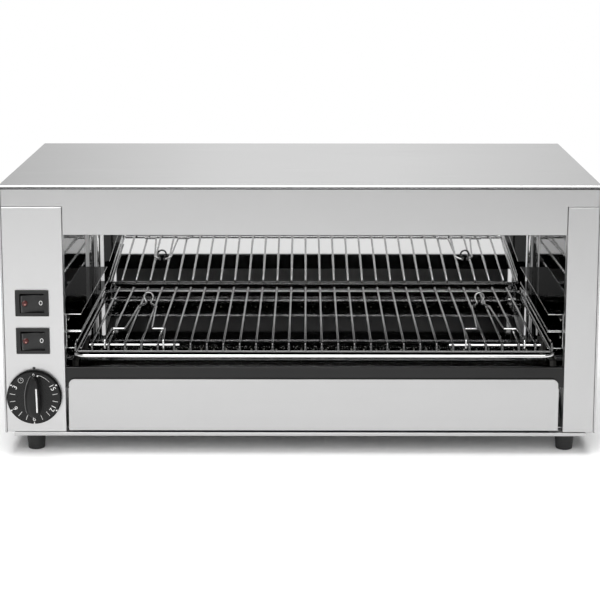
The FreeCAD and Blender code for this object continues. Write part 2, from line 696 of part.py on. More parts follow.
def make_insulator(side, y, z):
    """A square ceramic holder: a neck through the wall, a block outside it and a socket for the tube."""
    inner_face = WALL_LEFT if side == LEFT else WALL_RIGHT
    outer_face = inner_face + side * SHEET
    neck_end = inner_face - side * INSULATOR_REACH_IN
    neck = INSULATOR_NECK / 2
    block = INSULATOR_BLOCK / 2
    pieces = [
        box((neck_end, outer_face), (y - neck, y + neck), (z - neck, z + neck)),
        box((outer_face, outer_face + side * INSULATOR_REACH_OUT), (y - block, y + block), (z - block, z + block)),
    ]
    socket_length = INSULATOR_REACH_IN + SHEET + INSULATOR_SOCKET_END
    across_corners = (TUBE_DIAMETER + 2 * TUBE_CLEARANCE) / math.cos(math.pi / ROD_FLATS)
    socket = flat_sided_rod(Vector(neck_end, y, z), ALONG_X * side, across_corners, socket_length)
    tab = box((outer_face + side * INSULATOR_REACH_OUT, outer_face + side * (INSULATOR_REACH_OUT + TAB_LENGTH)),
              (y - TAB_WIDTH / 2, y + TAB_WIDTH / 2), (z - TAB_THICKNESS / 2, z + TAB_THICKNESS / 2))
    return fused(pieces + [tab]).cut(socket)


def make_insulators(name):
    y, z = tube_places()[name]
    return Part.makeCompound([make_insulator(side, y, z) for side in (LEFT, RIGHT)])


def make_guard_rods():
    """Rods below the upper tubes, welded between the side walls."""
    z = UPPER_TUBE_Z - GUARD_ROD_DROP
    rods = []
    for y in guard_rod_depths():
        start = Vector(WALL_LEFT + WELD_GAP, y, z)
        end = Vector(WALL_RIGHT - WELD_GAP, y, z)
        rods.append(bent_wire([start, end], GUARD_ROD_DIAMETER))
    return Part.makeCompound(rods)


# Wire rack: a frame loop that slides in the guides, a raised grid and the wires across it
def make_rack_frame():
    radius = RACK_CORNER_RADIUS
    turn = radius * (1 - math.sqrt(0.5))
    middle = (RACK_LEFT + RACK_RIGHT) / 2
    start = Vector(middle, RACK_FRONT, FRAME_Z)
    end = Vector(middle, RACK_REAR, FRAME_Z)
    halves = []
    for side in (LEFT, RIGHT):
        x = RACK_LEFT if side == LEFT else RACK_RIGHT
        inner_x = x - side * radius
        front_bend = (Vector(inner_x, RACK_FRONT, FRAME_Z),
                      Vector(x - side * turn, RACK_FRONT + turn, FRAME_Z),
                      Vector(x, RACK_FRONT + radius, FRAME_Z))
        rear_bend = (Vector(x, RACK_REAR - radius, FRAME_Z),
                     Vector(x - side * turn, RACK_REAR - turn, FRAME_Z),
                     Vector(inner_x, RACK_REAR, FRAME_Z))
        edges = [
            Part.makeLine(start, front_bend[0]),
            Part.Arc(*front_bend).toShape(),
            Part.makeLine(front_bend[2], rear_bend[0]),
            Part.Arc(*rear_bend).toShape(),
            Part.makeLine(rear_bend[2], end),
        ]
        halves.append(swept_wire(edges, start, ALONG_X * side, FRAME_WIRE))
    return fused(halves)


def grid_wire_positions():
    first = RACK_LEFT - GRID_EDGE_INSET
    last = RACK_RIGHT - GRID_EDGE_INSET
    step = (last - first) / (GRID_COUNT - 1)
    return [first + step * index for index in range(GRID_COUNT)]


def make_rack_grid():
    """Wires from front to back, turned down at both ends onto the wires that carry them."""
    foot = FRAME_Z + FRAME_WIRE / 2 + WELD_GAP
    wires = []
    for x in grid_wire_positions():
        wires.append(bent_wire([Vector(x, FRONT_CROSS_Y, foot), Vector(x, FRONT_CROSS_Y, GRID_Z),
                                Vector(x, RACK_REAR, GRID_Z), Vector(x, RACK_REAR, foot)], GRID_WIRE))
    return Part.makeCompound(wires)


def hinge_bar_range(side):
    """Ends of the short bar that carries a handle."""
    if side == LEFT:
        return RACK_LEFT + LEFT_BAR_INSET, RACK_LEFT + LEFT_BAR_INSET + LEFT_BAR_LENGTH
    return RACK_RIGHT - RIGHT_BAR_INSET - RIGHT_BAR_LENGTH, RACK_RIGHT - RIGHT_BAR_INSET


def make_rack_cross_wires():
    frame_gap = FRAME_WIRE / 2 + WELD_GAP
    level_with_frame = FRAME_Z + (FRAME_WIRE - CROSS_WIRE) / 2
    spans = [
        (RACK_LEFT + frame_gap, RACK_RIGHT - frame_gap, FRONT_CROSS_Y, level_with_frame),
        (RACK_LEFT + frame_gap, RACK_RIGHT - frame_gap, RACK_REAR - REAR_SUPPORT_INSET, CROSS_Z),
    ]
    for side in (LEFT, RIGHT):
        start, end = hinge_bar_range(side)
        spans.append((start, end, HINGE_Y, CROSS_Z))
    return Part.makeCompound([bent_wire([Vector(start, y, z), Vector(end, y, z)], CROSS_WIRE)
                              for start, end, y, z in spans])


def handle_centre(side):
    """X of a handle's middle, which is the middle of its bar."""
    return sum(hinge_bar_range(side)) / 2


# Folding handles: bent wire that hooks round a short bar and ends in an upright ring
def make_rack_handle(side):
    centre = handle_centre(side)
    hook = CROSS_WIRE / 2 + HOOK_CLEARANCE + HANDLE_WIRE / 2
    neck_y = HINGE_Y + HANDLE_NECK_DEPTH

    def half(sign):
        """Points from the hook's tail to the neck, on one side of the handle."""
        foot_x = centre + sign * HANDLE_FOOT_HALF
        hip_x = centre + sign * HANDLE_HIP_HALF
        hip_y = HINGE_Y + HANDLE_HIP_DEPTH
        return {
            "tail": Vector(foot_x, HINGE_Y + hook, CROSS_Z + HOOK_TAIL),
            "hook_rear": Vector(foot_x, HINGE_Y + hook, CROSS_Z - hook),
            "hook_front": Vector(foot_x, HINGE_Y - hook, CROSS_Z - hook),
            "rise": Vector(foot_x, HINGE_Y - hook, HANDLE_Z),
            "hip": Vector(hip_x, hip_y, HANDLE_Z),
            "waist": Vector(centre + sign * HANDLE_WAIST_HALF, hip_y, HANDLE_Z),
            "shoulder": Vector(centre + sign * HANDLE_SHOULDER_HALF, HINGE_Y + HANDLE_SHOULDER_DEPTH, HANDLE_Z),
            "neck": Vector(centre + sign * HANDLE_NECK_HALF, neck_y, HANDLE_Z),
        }

    ring_centre = Vector(centre, neck_y, HANDLE_Z + HANDLE_RING_HEIGHT - HANDLE_RING_RADIUS)
    drop = ring_centre.z - HANDLE_Z
    reach = math.hypot(HANDLE_NECK_HALF, drop)
    below = math.atan2(-drop, HANDLE_NECK_HALF)
    touch_angle = below + math.acos(HANDLE_RING_RADIUS / reach)
    ring_right = ring_centre + Vector(math.cos(touch_angle), 0, math.sin(touch_angle)) * HANDLE_RING_RADIUS
    ring_left = Vector(2 * centre - ring_right.x, neck_y, ring_right.z)
    ring_top = ring_centre + ALONG_Z * HANDLE_RING_RADIUS

    def rising_edges(points):
        corners = list(points.values())
        return [Part.makeLine(a, b) for a, b in zip(corners, corners[1:])]

    left = half(LEFT)
    right = half(RIGHT)
    edges = rising_edges(left)
    edges.append(Part.makeLine(left["neck"], ring_left))
    edges.append(Part.Arc(ring_left, ring_top, ring_right).toShape())
    edges.append(Part.makeLine(ring_right, right["neck"]))
    edges += rising_edges(right)[::-1]
    return swept_wire(edges, left["tail"], -ALONG_Z, HANDLE_WIRE)


# Crumb tray: a shallow pan that slides on the runners, and its front panel
def make_tray_pan():
    x_range = (TRAY_LEFT + TRAY_SIDE_SETBACK, TRAY_RIGHT - TRAY_SIDE_SETBACK)
    y_range = (FRONT + SHEET, CHAMBER_BACK - TRAY_REAR_GAP)
    z_range = (PAN_BOTTOM, PAN_BOTTOM + TRAY_WALL_HEIGHT)
    outer = box(x_range, y_range, z_range)
    hollow = box((x_range[0] + TRAY_SHEET, x_range[1] - TRAY_SHEET),
                 (y_range[0] + TRAY_SHEET, y_range[1] - TRAY_SHEET), (PAN_BOTTOM + TRAY_SHEET, z_range[1]))
    return outer.cut(hollow)


def make_tray_front():
    """A plate with rounded top corners; below them the hemmed sides stand a little wider."""
    inner_left = TRAY_LEFT + TRAY_HEM_PROUD
    inner_right = TRAY_RIGHT - TRAY_HEM_PROUD
    y_range = (FRONT, FRONT + SHEET)
    plate = box((inner_left, inner_right), y_range, (TRAY_FRONT_BOTTOM, TRAY_FRONT_TOP))
    corners = []
    for edge in plate.Edges:
        bounds = edge.BoundBox
        if bounds.YLength > SHEET / 2 and abs(bounds.ZMin - TRAY_FRONT_TOP) < 1e-3:
            corners.append(edge)
    plate = plate.makeFillet(TRAY_CORNER_RADIUS, corners)
    hem_top = TRAY_FRONT_TOP - TRAY_HEM_DROP
    hem_y = (FRONT, FRONT + HEM)
    left_hem = box((TRAY_LEFT, TRAY_LEFT + SHEET), hem_y, (TRAY_FRONT_BOTTOM, hem_top))
    right_hem = box((TRAY_RIGHT - SHEET, TRAY_RIGHT), hem_y, (TRAY_FRONT_BOTTOM, hem_top))
    top_hem = box((inner_left + TRAY_CORNER_RADIUS, inner_right - TRAY_CORNER_RADIUS),
                  (FRONT + SHEET, FRONT + HEM), (TRAY_FRONT_TOP - HEM_WIDTH, TRAY_FRONT_TOP))
    left_hem = left_hem.makeFillet(FOLD_RADIUS, upright_edges(left_hem, TRAY_LEFT, FRONT))
    right_hem = right_hem.makeFillet(FOLD_RADIUS, upright_edges(right_hem, TRAY_RIGHT, FRONT))
    return fused([plate, left_hem, right_hem, top_hem])


# Rocker switches: a bezel on a body that snaps into the panel, and a rocker on two pins
def make_switch_housing(height):
    pivot_y = rocker_place(height).y
    half_x = SWITCH_BEZEL_WIDTH / 2
    half_z = SWITCH_BEZEL_HEIGHT / 2
    bezel = box((SWITCH_X - half_x, SWITCH_X + half_x), (FRONT - SWITCH_BEZEL_PROUD, FRONT),
                (height - half_z, height + half_z))
    bezel = bezel.makeChamfer(SWITCH_BEZEL_EDGE, edges_on_plane(bezel, "Y", FRONT - SWITCH_BEZEL_PROUD))
    body_x = SWITCH_BODY_WIDTH / 2
    body_z = SWITCH_BODY_HEIGHT / 2
    body = box((SWITCH_X - body_x, SWITCH_X + body_x), (FRONT, FRONT + SWITCH_BODY_DEPTH),
               (height - body_z, height + body_z))
    tabs = []
    for index in range(TAB_COUNT):
        x = SWITCH_X + (index - (TAB_COUNT - 1) / 2) * TAB_PITCH
        tabs.append(box((x - TAB_THICKNESS / 2, x + TAB_THICKNESS / 2),
                        (FRONT + SWITCH_BODY_DEPTH, FRONT + SWITCH_BODY_DEPTH + TAB_LENGTH),
                        (height - TAB_WIDTH / 2, height + TAB_WIDTH / 2)))
    housing = fused([bezel, body] + tabs)
    pocket_x = ROCKER_RADIUS + ROCKER_CLEARANCE
    pocket_z = ROCKER_HEIGHT / 2 + ROCKER_CLEARANCE
    pocket_end = pivot_y + ROCKER_RADIUS + ROCKER_CLEARANCE
    housing = housing.cut(box((SWITCH_X - pocket_x, SWITCH_X + pocket_x),
                              (FRONT - SWITCH_BEZEL_PROUD, pocket_end), (height - pocket_z, height + pocket_z)))
    pin_reach = ROCKER_HEIGHT / 2 + ROCKER_PIN_LENGTH + PIN_CLEARANCE
    pin_hole = rod(Vector(SWITCH_X, pivot_y, height - pin_reach), ALONG_Z,
                   ROCKER_PIN_DIAMETER + 2 * PIN_CLEARANCE, 2 * pin_reach)
    return housing.cut(pin_hole)


def rocker_place(height):
    return Vector(SWITCH_X, FRONT + ROCKER_PIVOT_DEPTH, height)


def tilted(shape, height):
    """Turns a rocker's piece from level to the off position, right side in."""
    turned = shape.copy()
    turned.rotate(rocker_place(height), ALONG_Z, ROCKER_TILT)
    return turned


def lamp_seat(height):
    """Start and direction of the lamp's hole, on the left slope of the level rocker."""
    place = rocker_place(height)
    slope = math.atan2(ROCKER_DISH, ROCKER_RADIUS)
    face_rise = ROCKER_END_RISE - ROCKER_DISH * (1 - LAMP_OFFSET / ROCKER_RADIUS)
    start = place + Vector(-LAMP_OFFSET, -face_rise, 0)
    return start, Vector(math.sin(slope), -math.cos(slope), 0)


def make_rocker(height):
    place = rocker_place(height)
    half = ROCKER_HEIGHT / 2
    barrel = rod(place - ALONG_Z * half, ALONG_Z, 2 * ROCKER_RADIUS, ROCKER_HEIGHT)
    outline = [
        Vector(-ROCKER_RADIUS * 2, ROCKER_BACK, 0), Vector(-ROCKER_RADIUS * 2, -ROCKER_END_RISE - ROCKER_DISH, 0),
        Vector(0, -ROCKER_END_RISE + ROCKER_DISH, 0),
        Vector(ROCKER_RADIUS * 2, -ROCKER_END_RISE - ROCKER_DISH, 0), Vector(ROCKER_RADIUS * 2, ROCKER_BACK, 0),
    ]
    points = [place - ALONG_Z * half + point for point in outline]
    wedge = Part.Face(Part.makePolygon(points + points[:1])).extrude(ALONG_Z * ROCKER_HEIGHT)
    pin_reach = half + ROCKER_PIN_LENGTH
    pin = flat_sided_rod(place - ALONG_Z * pin_reach, ALONG_Z, ROCKER_PIN_DIAMETER, 2 * pin_reach)
    rocker = fused([barrel.common(wedge), pin])
    start, outward = lamp_seat(height)
    hole = rod(start - outward * LAMP_DEPTH, outward, LAMP_DIAMETER + 2 * PIN_CLEARANCE, 2 * LAMP_DEPTH)
    return tilted(rocker.cut(hole), height)


def make_lamp(height):
    start, outward = lamp_seat(height)
    lens = rod(start - outward * LAMP_DEPTH, outward, LAMP_DIAMETER, LAMP_DEPTH + LAMP_PROUD)
    return tilted(lens, height)


# Timer: a clockwork behind the panel, its shaft and the dial knob
def timer_point(y):
    return Vector(TIMER_X, y, TIMER_HEIGHT)


def make_timer_body():
    half = TIMER_BODY_SIZE / 2
    case = box((TIMER_X - half, TIMER_X + half), (FRONT + SHEET, FRONT + SHEET + TIMER_BODY_DEPTH),
               (TIMER_HEIGHT - half, TIMER_HEIGHT + half))
    bush = rod(timer_point(FRONT + SHEET), -ALONG_Y, TIMER_BUSH_DIAMETER, SHEET + TIMER_BUSH_PROUD)
    bore_length = TIMER_BUSH_PROUD + SHEET + TIMER_SHAFT_IN + PIN_CLEARANCE
    bore = rod(timer_point(FRONT - TIMER_BUSH_PROUD), ALONG_Y,
               TIMER_SHAFT_DIAMETER + 2 * TIMER_SHAFT_CLEARANCE, bore_length)
    return fused([case, bush]).cut(bore)


def shaft_solid(extra_radius, front, rear):
    """The shaft with its flat, from one depth to another, grown all round by a clearance."""
    radius = TIMER_SHAFT_DIAMETER / 2 + extra_radius
    shaft = rod(timer_point(front), ALONG_Y, 2 * radius, rear - front)
    flat_end = FRONT - KNOB_GAP
    flat = box((TIMER_X - 2 * radius, TIMER_X + 2 * radius), (front, min(flat_end, rear)),
               (TIMER_HEIGHT - 2 * radius, TIMER_HEIGHT - radius + TIMER_SHAFT_FLAT))
    return shaft.cut(flat)


def make_timer_shaft():
    rear = FRONT + SHEET + TIMER_SHAFT_IN
    return shaft_solid(0.0, FRONT - KNOB_GAP - KNOB_SHAFT_DEPTH, rear)


def grip_outline(y, length, width):
    """A long drop, drawn with flats: round at the bottom and drawn to a point at the top."""
    radius = width / 2
    round_centre = length / 2 - radius
    right = []
    for step in range(GRIP_ROUND_FLATS + 1):
        angle = math.pi / 2 * step / GRIP_ROUND_FLATS
        right.append(Vector(radius * math.sin(angle), 0, -round_centre - radius * math.cos(angle)))
    right.append(Vector(radius * GRIP_SHOULDER_WIDTH, 0, length * GRIP_SHOULDER_HEIGHT))
    tip = Vector(0, 0, length / 2)
    left = [Vector(-point.x, 0, point.z) for point in right[:0:-1]]
    return Part.makePolygon([timer_point(y) + point for point in right + [tip] + left + right[:1]])


def make_timer_knob():
    back = FRONT - KNOB_GAP
    face = back - KNOB_DISC
    disc = many_sided_cone(timer_point(back), -ALONG_Y, KNOB_DIAMETER, KNOB_DIAMETER, KNOB_DISC - KNOB_EDGE)
    rim = many_sided_cone(timer_point(face + KNOB_EDGE), -ALONG_Y, KNOB_DIAMETER, KNOB_DIAMETER - 2 * KNOB_EDGE,
                          KNOB_EDGE)
    grip = Part.makeLoft([grip_outline(face, GRIP_LENGTH, GRIP_WIDTH),
                          grip_outline(face - GRIP_RISE, GRIP_TOP_LENGTH, GRIP_TOP_WIDTH)], True, True)
    knob = fused([disc, rim, grip])
    shaft_hole = shaft_solid(PIN_CLEARANCE, back - KNOB_SHAFT_DEPTH - PIN_CLEARANCE, back)
    return knob.cut(shaft_hole)


# Mains entry: a cable gland in the back panel, its locknut and the terminal block behind it
def gland_point(y):
    return Vector(GLAND_X, y, GLAND_HEIGHT)


def make_cable_gland():
    bore = rod(gland_point(BACK - SHEET - GLAND_INSIDE), ALONG_Y, GLAND_BORE, SHEET + GLAND_INSIDE + GLAND_OUT)
    thread = flat_sided_rod(gland_point(BACK - SHEET - GLAND_INSIDE), ALONG_Y, GLAND_THREAD, SHEET + GLAND_INSIDE)
    collar = hexagon(gland_point(BACK), ALONG_Y, GLAND_HEX, GLAND_HEX_LENGTH)
    dome_start = BACK + GLAND_HEX_LENGTH
    dome = many_sided_cone(gland_point(dome_start), ALONG_Y, GLAND_DOME_DIAMETER, GLAND_DOME_TIP,
                           GLAND_OUT - GLAND_HEX_LENGTH)
    return fused([thread, collar, dome]).cut(bore)


def make_gland_locknut():
    inner_face = BACK - SHEET
    nut = hexagon(gland_point(inner_face), -ALONG_Y, LOCKNUT_WIDTH, LOCKNUT_HEIGHT)
    bore_diameter = GLAND_THREAD + 2 * PIN_CLEARANCE
    return nut.cut(flat_sided_rod(gland_point(inner_face), -ALONG_Y, bore_diameter, LOCKNUT_HEIGHT))


def make_terminal_block():
    """A moulded block with a square tower and a screw well for each conductor."""
    x_range = (WALL_LEFT - SHEET - TERMINAL_WALL_GAP - TERMINAL_WIDTH, WALL_LEFT - SHEET - TERMINAL_WALL_GAP)
    x_middle = sum(x_range) / 2
    y_low = BACK - TERMINAL_REAR_INSET
    top = BASE_TOP + TERMINAL_HEIGHT
    shelf = BASE_TOP + TERMINAL_SHELF
    pieces = [box(x_range, (y_low, y_low + TERMINAL_LENGTH), (BASE_TOP, shelf))]
    wells = []
    pitch = TERMINAL_LENGTH / TERMINAL_WAYS
    half_tower = TERMINAL_TOWER / 2
    half_well = TERMINAL_WELL / 2
    for way in range(TERMINAL_WAYS):
        y = y_low + pitch * (way + 0.5)
        pieces.append(box((x_middle - half_tower, x_middle + half_tower), (y - half_tower, y + half_tower),
                          (BASE_TOP, top)))
        wells.append(box((x_middle - half_well, x_middle + half_well), (y - half_well, y + half_well),
                         (shelf, top + SHEET)))
    return fused(pieces).cut(Part.makeCompound(wells))


def make_parts():
    parts = {
        "top_cover": make_top_cover(),
        "front_fascia": make_front_fascia(),
        "control_panel": make_control_panel(),
        "right_column": folded_column((OPENING_RIGHT, PANEL_SIDE)),
        "left_side_panel": make_side_panel(LEFT),
        "right_side_panel": make_side_panel(RIGHT),
        "back_panel": make_back_panel(),
        "back_panel_screws": make_panel_screws(),
        "base_plate": make_base_plate(),
        "rubber_feet": make_feet(),
        "chamber_left_wall": make_chamber_side(LEFT),
        "chamber_right_wall": make_chamber_side(RIGHT),
        "chamber_back_wall": make_chamber_back(),
        "chamber_ceiling": make_chamber_ceiling(),
        "left_lower_guide": make_guide(LEFT, 0),
        "left_upper_guide": make_guide(LEFT, 1),
        "right_lower_guide": make_guide(RIGHT, 0),
        "right_upper_guide": make_guide(RIGHT, 1),
        "left_tray_runner": make_tray_runner(LEFT),
        "right_tray_runner": make_tray_runner(RIGHT),
        "heater_cores": make_heater_cores(),
        "upper_guard_rods": make_guard_rods(),
        "rack_frame": make_rack_frame(),
        "rack_grid": make_rack_grid(),
        "rack_cross_wires": make_rack_cross_wires(),
        "left_rack_handle": make_rack_handle(LEFT),
        "right_rack_handle": make_rack_handle(RIGHT),
        "crumb_tray_pan": make_tray_pan(),
        "crumb_tray_front": make_tray_front(),
        "timer_body": make_timer_body(),
        "timer_shaft": make_timer_shaft(),
        "timer_knob": make_timer_knob(),
        "cable_gland": make_cable_gland(),
        "gland_locknut": make_gland_locknut(),
        "terminal_block": make_terminal_block(),
    }
    for name in tube_places():
        parts[name + "_heating_tube"] = make_heating_tube(name)
        parts[name + "_insulators"] = make_insulators(name)
    for name, height in (("upper", UPPER_SWITCH_HEIGHT), ("lower", LOWER_SWITCH_HEIGHT)):
        parts[name + "_switch_housing"] = make_switch_housing(height)
        parts[name + "_switch_rocker"] = make_rocker(height)
        parts[name + "_switch_lamp"] = make_lamp(height)
    return parts


os.makedirs("parts", exist_ok=True)
for node, shape in make_parts().items():
    shape.exportStep("parts/" + node + ".step")
    valid = "valid" if shape.isValid() else "NOT VALID"
    print(node, len(shape.Solids), "solids", round(shape.Volume), "mm3", valid)
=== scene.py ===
import math

import bmesh
import bpy
from mathutils import Matrix, Vector


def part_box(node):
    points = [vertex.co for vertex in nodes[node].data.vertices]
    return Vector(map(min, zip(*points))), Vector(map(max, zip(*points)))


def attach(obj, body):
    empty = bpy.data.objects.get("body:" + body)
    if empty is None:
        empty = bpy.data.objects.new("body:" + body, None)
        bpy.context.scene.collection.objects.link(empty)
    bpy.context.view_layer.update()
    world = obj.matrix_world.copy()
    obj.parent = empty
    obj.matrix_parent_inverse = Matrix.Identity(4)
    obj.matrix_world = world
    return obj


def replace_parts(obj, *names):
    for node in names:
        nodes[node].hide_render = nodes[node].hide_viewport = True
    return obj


# Counter-top toaster grill. Metres, X to the right, Y from front to back, Z up.
MM = 0.001
LEFT, RIGHT = -1, 1
SHARP_ANGLE = math.radians(35)

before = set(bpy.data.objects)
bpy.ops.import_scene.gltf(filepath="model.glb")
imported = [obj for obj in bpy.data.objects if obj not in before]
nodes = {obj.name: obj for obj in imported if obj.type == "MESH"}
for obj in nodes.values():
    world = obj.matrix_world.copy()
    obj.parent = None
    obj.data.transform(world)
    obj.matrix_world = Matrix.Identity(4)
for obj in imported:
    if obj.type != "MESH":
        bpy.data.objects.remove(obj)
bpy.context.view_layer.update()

# Wires
FRAME_WIRE = 4.0 * MM
CROSS_WIRE = 3.0 * MM
GRID_WIRE = 2.5 * MM
HANDLE_WIRE = 2.5 * MM
GUARD_WIRE = 3.0 * MM
GRID_COUNT = 30
FRAME_CORNER = 13.0 * MM
FRAME_REAR_RISE = 24.0 * MM
FRAME_BAR = 3.0 * MM
CROSS_BAR = 2.2 * MM
HANDLE_BAR = 2.1 * MM
GRID_BEND = 3.0 * MM
GRID_RISE = 8.5 * MM
HANDLE_BEND = 2.0 * MM
FRONT_CROSS_OUT = 5.6 * MM
REAR_SUPPORT_INSET = 4.0 * MM
LEFT_BAR_INSET = 12.65 * MM
LEFT_BAR_LENGTH = 89.0 * MM
RIGHT_BAR_INSET = 10.65 * MM
RIGHT_BAR_LENGTH = 91.0 * MM

# Folding handles: half widths from the middle of each, and depths from the front
HANDLE_FOOT_HALF = 29.0 * MM
HANDLE_HIP_HALF = 27.0 * MM
HANDLE_HIP_DEPTH = 44.0 * MM
HANDLE_WAIST_HALF = 13.5 * MM
HANDLE_SHOULDER_HALF = 9.5 * MM
HANDLE_SHOULDER_DEPTH = 141.0 * MM
HANDLE_NECK_HALF = 1.8 * MM
HANDLE_NECK_DEPTH = 156.0 * MM
HANDLE_RING_RADIUS = 4.9 * MM
HANDLE_RING_HEIGHT = 12.2 * MM
HOOK_REACH = 2.9 * MM
HOOK_TAIL = 1.5 * MM
HANDLE_RING_STEPS = 28

# Heating tubes
TUBE_WALL = 1.5 * MM
TUBE_STEPS = 48
COIL_WIRE = 0.6 * MM
COIL_DIAMETER = 7.5 * MM
COIL_PITCH = 6.3 * MM
COIL_POINTS_PER_TURN = 14
BEAD_PITCH = 13.7 * MM
BEAD_RADIUS = 1.1 * MM
BEAD_STEPS = 8

# Chamber back, which leans a little, the rail above the crumb tray, and the guides with their rivets
BACK_LEAN = math.radians(1.5)
BACK_LEAN_HEIGHT = 110.0 * MM
BACK_BEND = 5.0 * MM
BACK_BEND_STEPS = 10
RAIL_TOP = 90.2 * MM
RAIL_BOTTOM = 70.0 * MM
RAIL_SETBACK = 3.6 * MM
RAIL_FOLD = 5.0 * MM
RAIL_RADIUS = 1.0 * MM
RAIL_RADIUS_STEPS = 6
SHEET = 1.0 * MM
# Glowing white strips in the back corners paint the highlight of each bend: where they stand, how wide and
# how low
CORNER_HIGHLIGHT_FROM_SIDE = {LEFT: 8.4 * MM, RIGHT: 6.9 * MM}
CORNER_HIGHLIGHT_WIDTH = {LEFT: 3.8 * MM, RIGHT: 1.6 * MM}
CORNER_HIGHLIGHT_BOTTOM = 58.0 * MM
GUIDE_EDGE = 0.8 * MM
# Width of the black strip that paints the shadow gap under the cover
SHADOW_GAP_WIDTH = 1.1 * MM
RIVET_INSET = 12.0 * MM
RIVET_RADIUS = 2.0 * MM

# Feet
FOOT_RADIUS = 10.0 * MM

# Rocker switches
ROCKER_HALF_WIDTH = 11.0 * MM
ROCKER_TOP = 8.0 * MM
ROCKER_BOTTOM = 9.4 * MM
ROCKER_SKIRT = 11.9 * MM
ROCKER_END_RISE = 5.0 * MM
ROCKER_DISH = 2.0 * MM
ROCKER_BACK = 4.0 * MM
ROCKER_PIVOT_DEPTH = 3.4 * MM
ROCKER_TILT = math.radians(9)
ROCKER_EDGE = 0.5 * MM
ROCKER_CORNER = 0.9 * MM
LAMP_OFFSET = 7.7 * MM
LAMP_RADIUS = 3.0 * MM
LAMP_DOME = 0.9 * MM
MARK_OFFSET = 8.0 * MM
MARK_HALF_WIDTH = 1.5 * MM
MARK_HALF_HEIGHT = 2.0 * MM
MARK_LINE = 0.32 * MM
BEZEL_SIDE_LIP = 4.6 * MM
BEZEL_END_LIP = 3.3 * MM
BEZEL_EDGE = 0.5 * MM
BEZEL_CORNER = 1.4 * MM

# Timer dial; the flank pairs a share of the grip's rise with a share of the way to its ridge
KNOB_DISC = 5.0 * MM
KNOB_GAP = 1.0 * MM
KNOB_EDGE = 0.9 * MM
GRIP_RISE = 14.0 * MM
GRIP_TOP = 23.0 * MM
GRIP_BOTTOM = 18.5 * MM
GRIP_WIDTH = 16.0 * MM
GRIP_RIDGE_SHIFT = 5.6 * MM
GRIP_RIDGE_WIDTH = 4.0 * MM
GRIP_OFFSET = 1.0 * MM
GRIP_FLANK = ((-0.02, 0.0), (0.0, 0.0), (0.1, 0.05), (0.3, 0.12), (0.5, 0.25), (0.68, 0.42),
              (0.82, 0.65), (0.93, 0.9), (0.98, 1.0), (1.0, 1.12))
# Thickness of the pale bead that paints the highlight along the grip's left edge
GRIP_HIGHLIGHT_LINE = 0.8 * MM
# Size of the white stripe that paints the highlight on the grip's ridge
RIDGE_HIGHLIGHT_WIDTH = 1.6 * MM
RIDGE_HIGHLIGHT_TOP = 13.0 * MM
RIDGE_HIGHLIGHT_MIDDLE = 1.0 * MM
RIDGE_HIGHLIGHT_BOTTOM = 11.0 * MM
DIAL_NUMBERS = ("0", "3", "6", "9", "12", "15")
DIAL_STEP = math.radians(60)
DIAL_TICKS = 2
NUMBER_RADIUS = 21.4 * MM
NUMBER_SIZE = 7.0 * MM
NUMBER_THINNING = 0.03 * MM
ZERO_SCALE = 0.7
ZERO_OUTWARDS = 1.6 * MM
TICK_INNER = 18.8 * MM
TICK_OUTER = 24.2 * MM
TICK_WIDTH = 0.38 * MM
RIM_MARK_INNER = 24.6 * MM
RIM_MARK_OUTER = 26.6 * MM
RIM_MARK_WIDTH = 1.9 * MM
PRINT_LINE = 0.34 * MM
ARC_RADIUS = 23.6 * MM
ARC_CLOSING = 0.9 * MM
ARC_START = -10.5
ARC_SWEEP = -33.5
ARC_STEPS = 12
DOT_RADIUS = 0.8 * MM
DOT_FROM_CENTRE = 22.7 * MM
CLOCK_LEFT = 12.6 * MM
CLOCK_UP = 17.9 * MM
CLOCK_RADIUS = 2.6 * MM
CLOCK_LONG_HAND = 1.7 * MM
CLOCK_SHORT_HAND = (1.2 * MM, 0.5 * MM)
INDEX_SIZE = 2.8 * MM
PRINT_RISE = 0.06 * MM

# Camera, set so that the front's edges fall where the photograph has them
CAMERA_PLACE = Vector((7.204, -1787.862, 543.581)) * MM
CAMERA_PITCH = 0.1735
CAMERA_YAW = 0.0044
CAMERA_LENS = 101.83
CAMERA_SHIFT_UP = -0.16
SENSOR_WIDTH = 36.0

# Surroundings: how bright the sky is low and high, its share left towards each side, and where each changes
SURROUND_BELOW = 0.02
SURROUND_ABOVE = 0.8
SURROUND_FRONT_SHARE = 0.95
SURROUND_LEFT_SHARE = 0.6
SURROUND_RIGHT_SHARE = 0.76
SURROUND_OVERHEAD_SHARE = 0.15
CLIMB_RANGE = (-0.3, 0.05)
DEPTH_RANGE = (-0.6, 0.4)
LEFT_RANGE = (-0.21, -0.05)
RIGHT_RANGE = (0.05, 0.2)
OVERHEAD_RANGE = (0.28, 0.5)
FLOOR_FRONT = -1.8
FLOOR_BACK = 1.2
FLOOR_SIDE = 1.6


def low(node):
    """Lowest corner of a carried-over solid."""
    return Vector(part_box(node)[0])


def high(node):
    """Highest corner of a carried-over solid."""
    return Vector(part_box(node)[1])


def middle(node):
    return (low(node) + high(node)) / 2


def side_name(side):
    return "left" if side == LEFT else "right"


def circle(radius, steps):
    """Points of a circle, as pairs."""
    angles = [2 * math.pi * step / steps for step in range(steps)]
    return [(radius * math.cos(angle), radius * math.sin(angle)) for angle in angles]


LEVELS = ("lower", "upper")
ROWS = ("front", "rear")
TUBES = [level + "_" + row for level in LEVELS for row in ROWS]
GUIDES = [side_name(side) + "_" + level + "_guide" for side in (LEFT, RIGHT) for level in LEVELS]


# Materials

def new_material(name):
    """A new node material, its node tree and its shader."""
    made = bpy.data.materials.new(name)
    made.use_nodes = True
    return made, made.node_tree, made.node_tree.nodes["Principled BSDF"]


def add(tree, kind, **values):
    """A node with its named inputs or settings filled in."""
    node = tree.nodes.new(kind)
    for key, value in values.items():
        label = key.replace("_", " ")
        if label in node.inputs:
            node.inputs[label].default_value = value
        else:
            setattr(node, key, value)
    return node


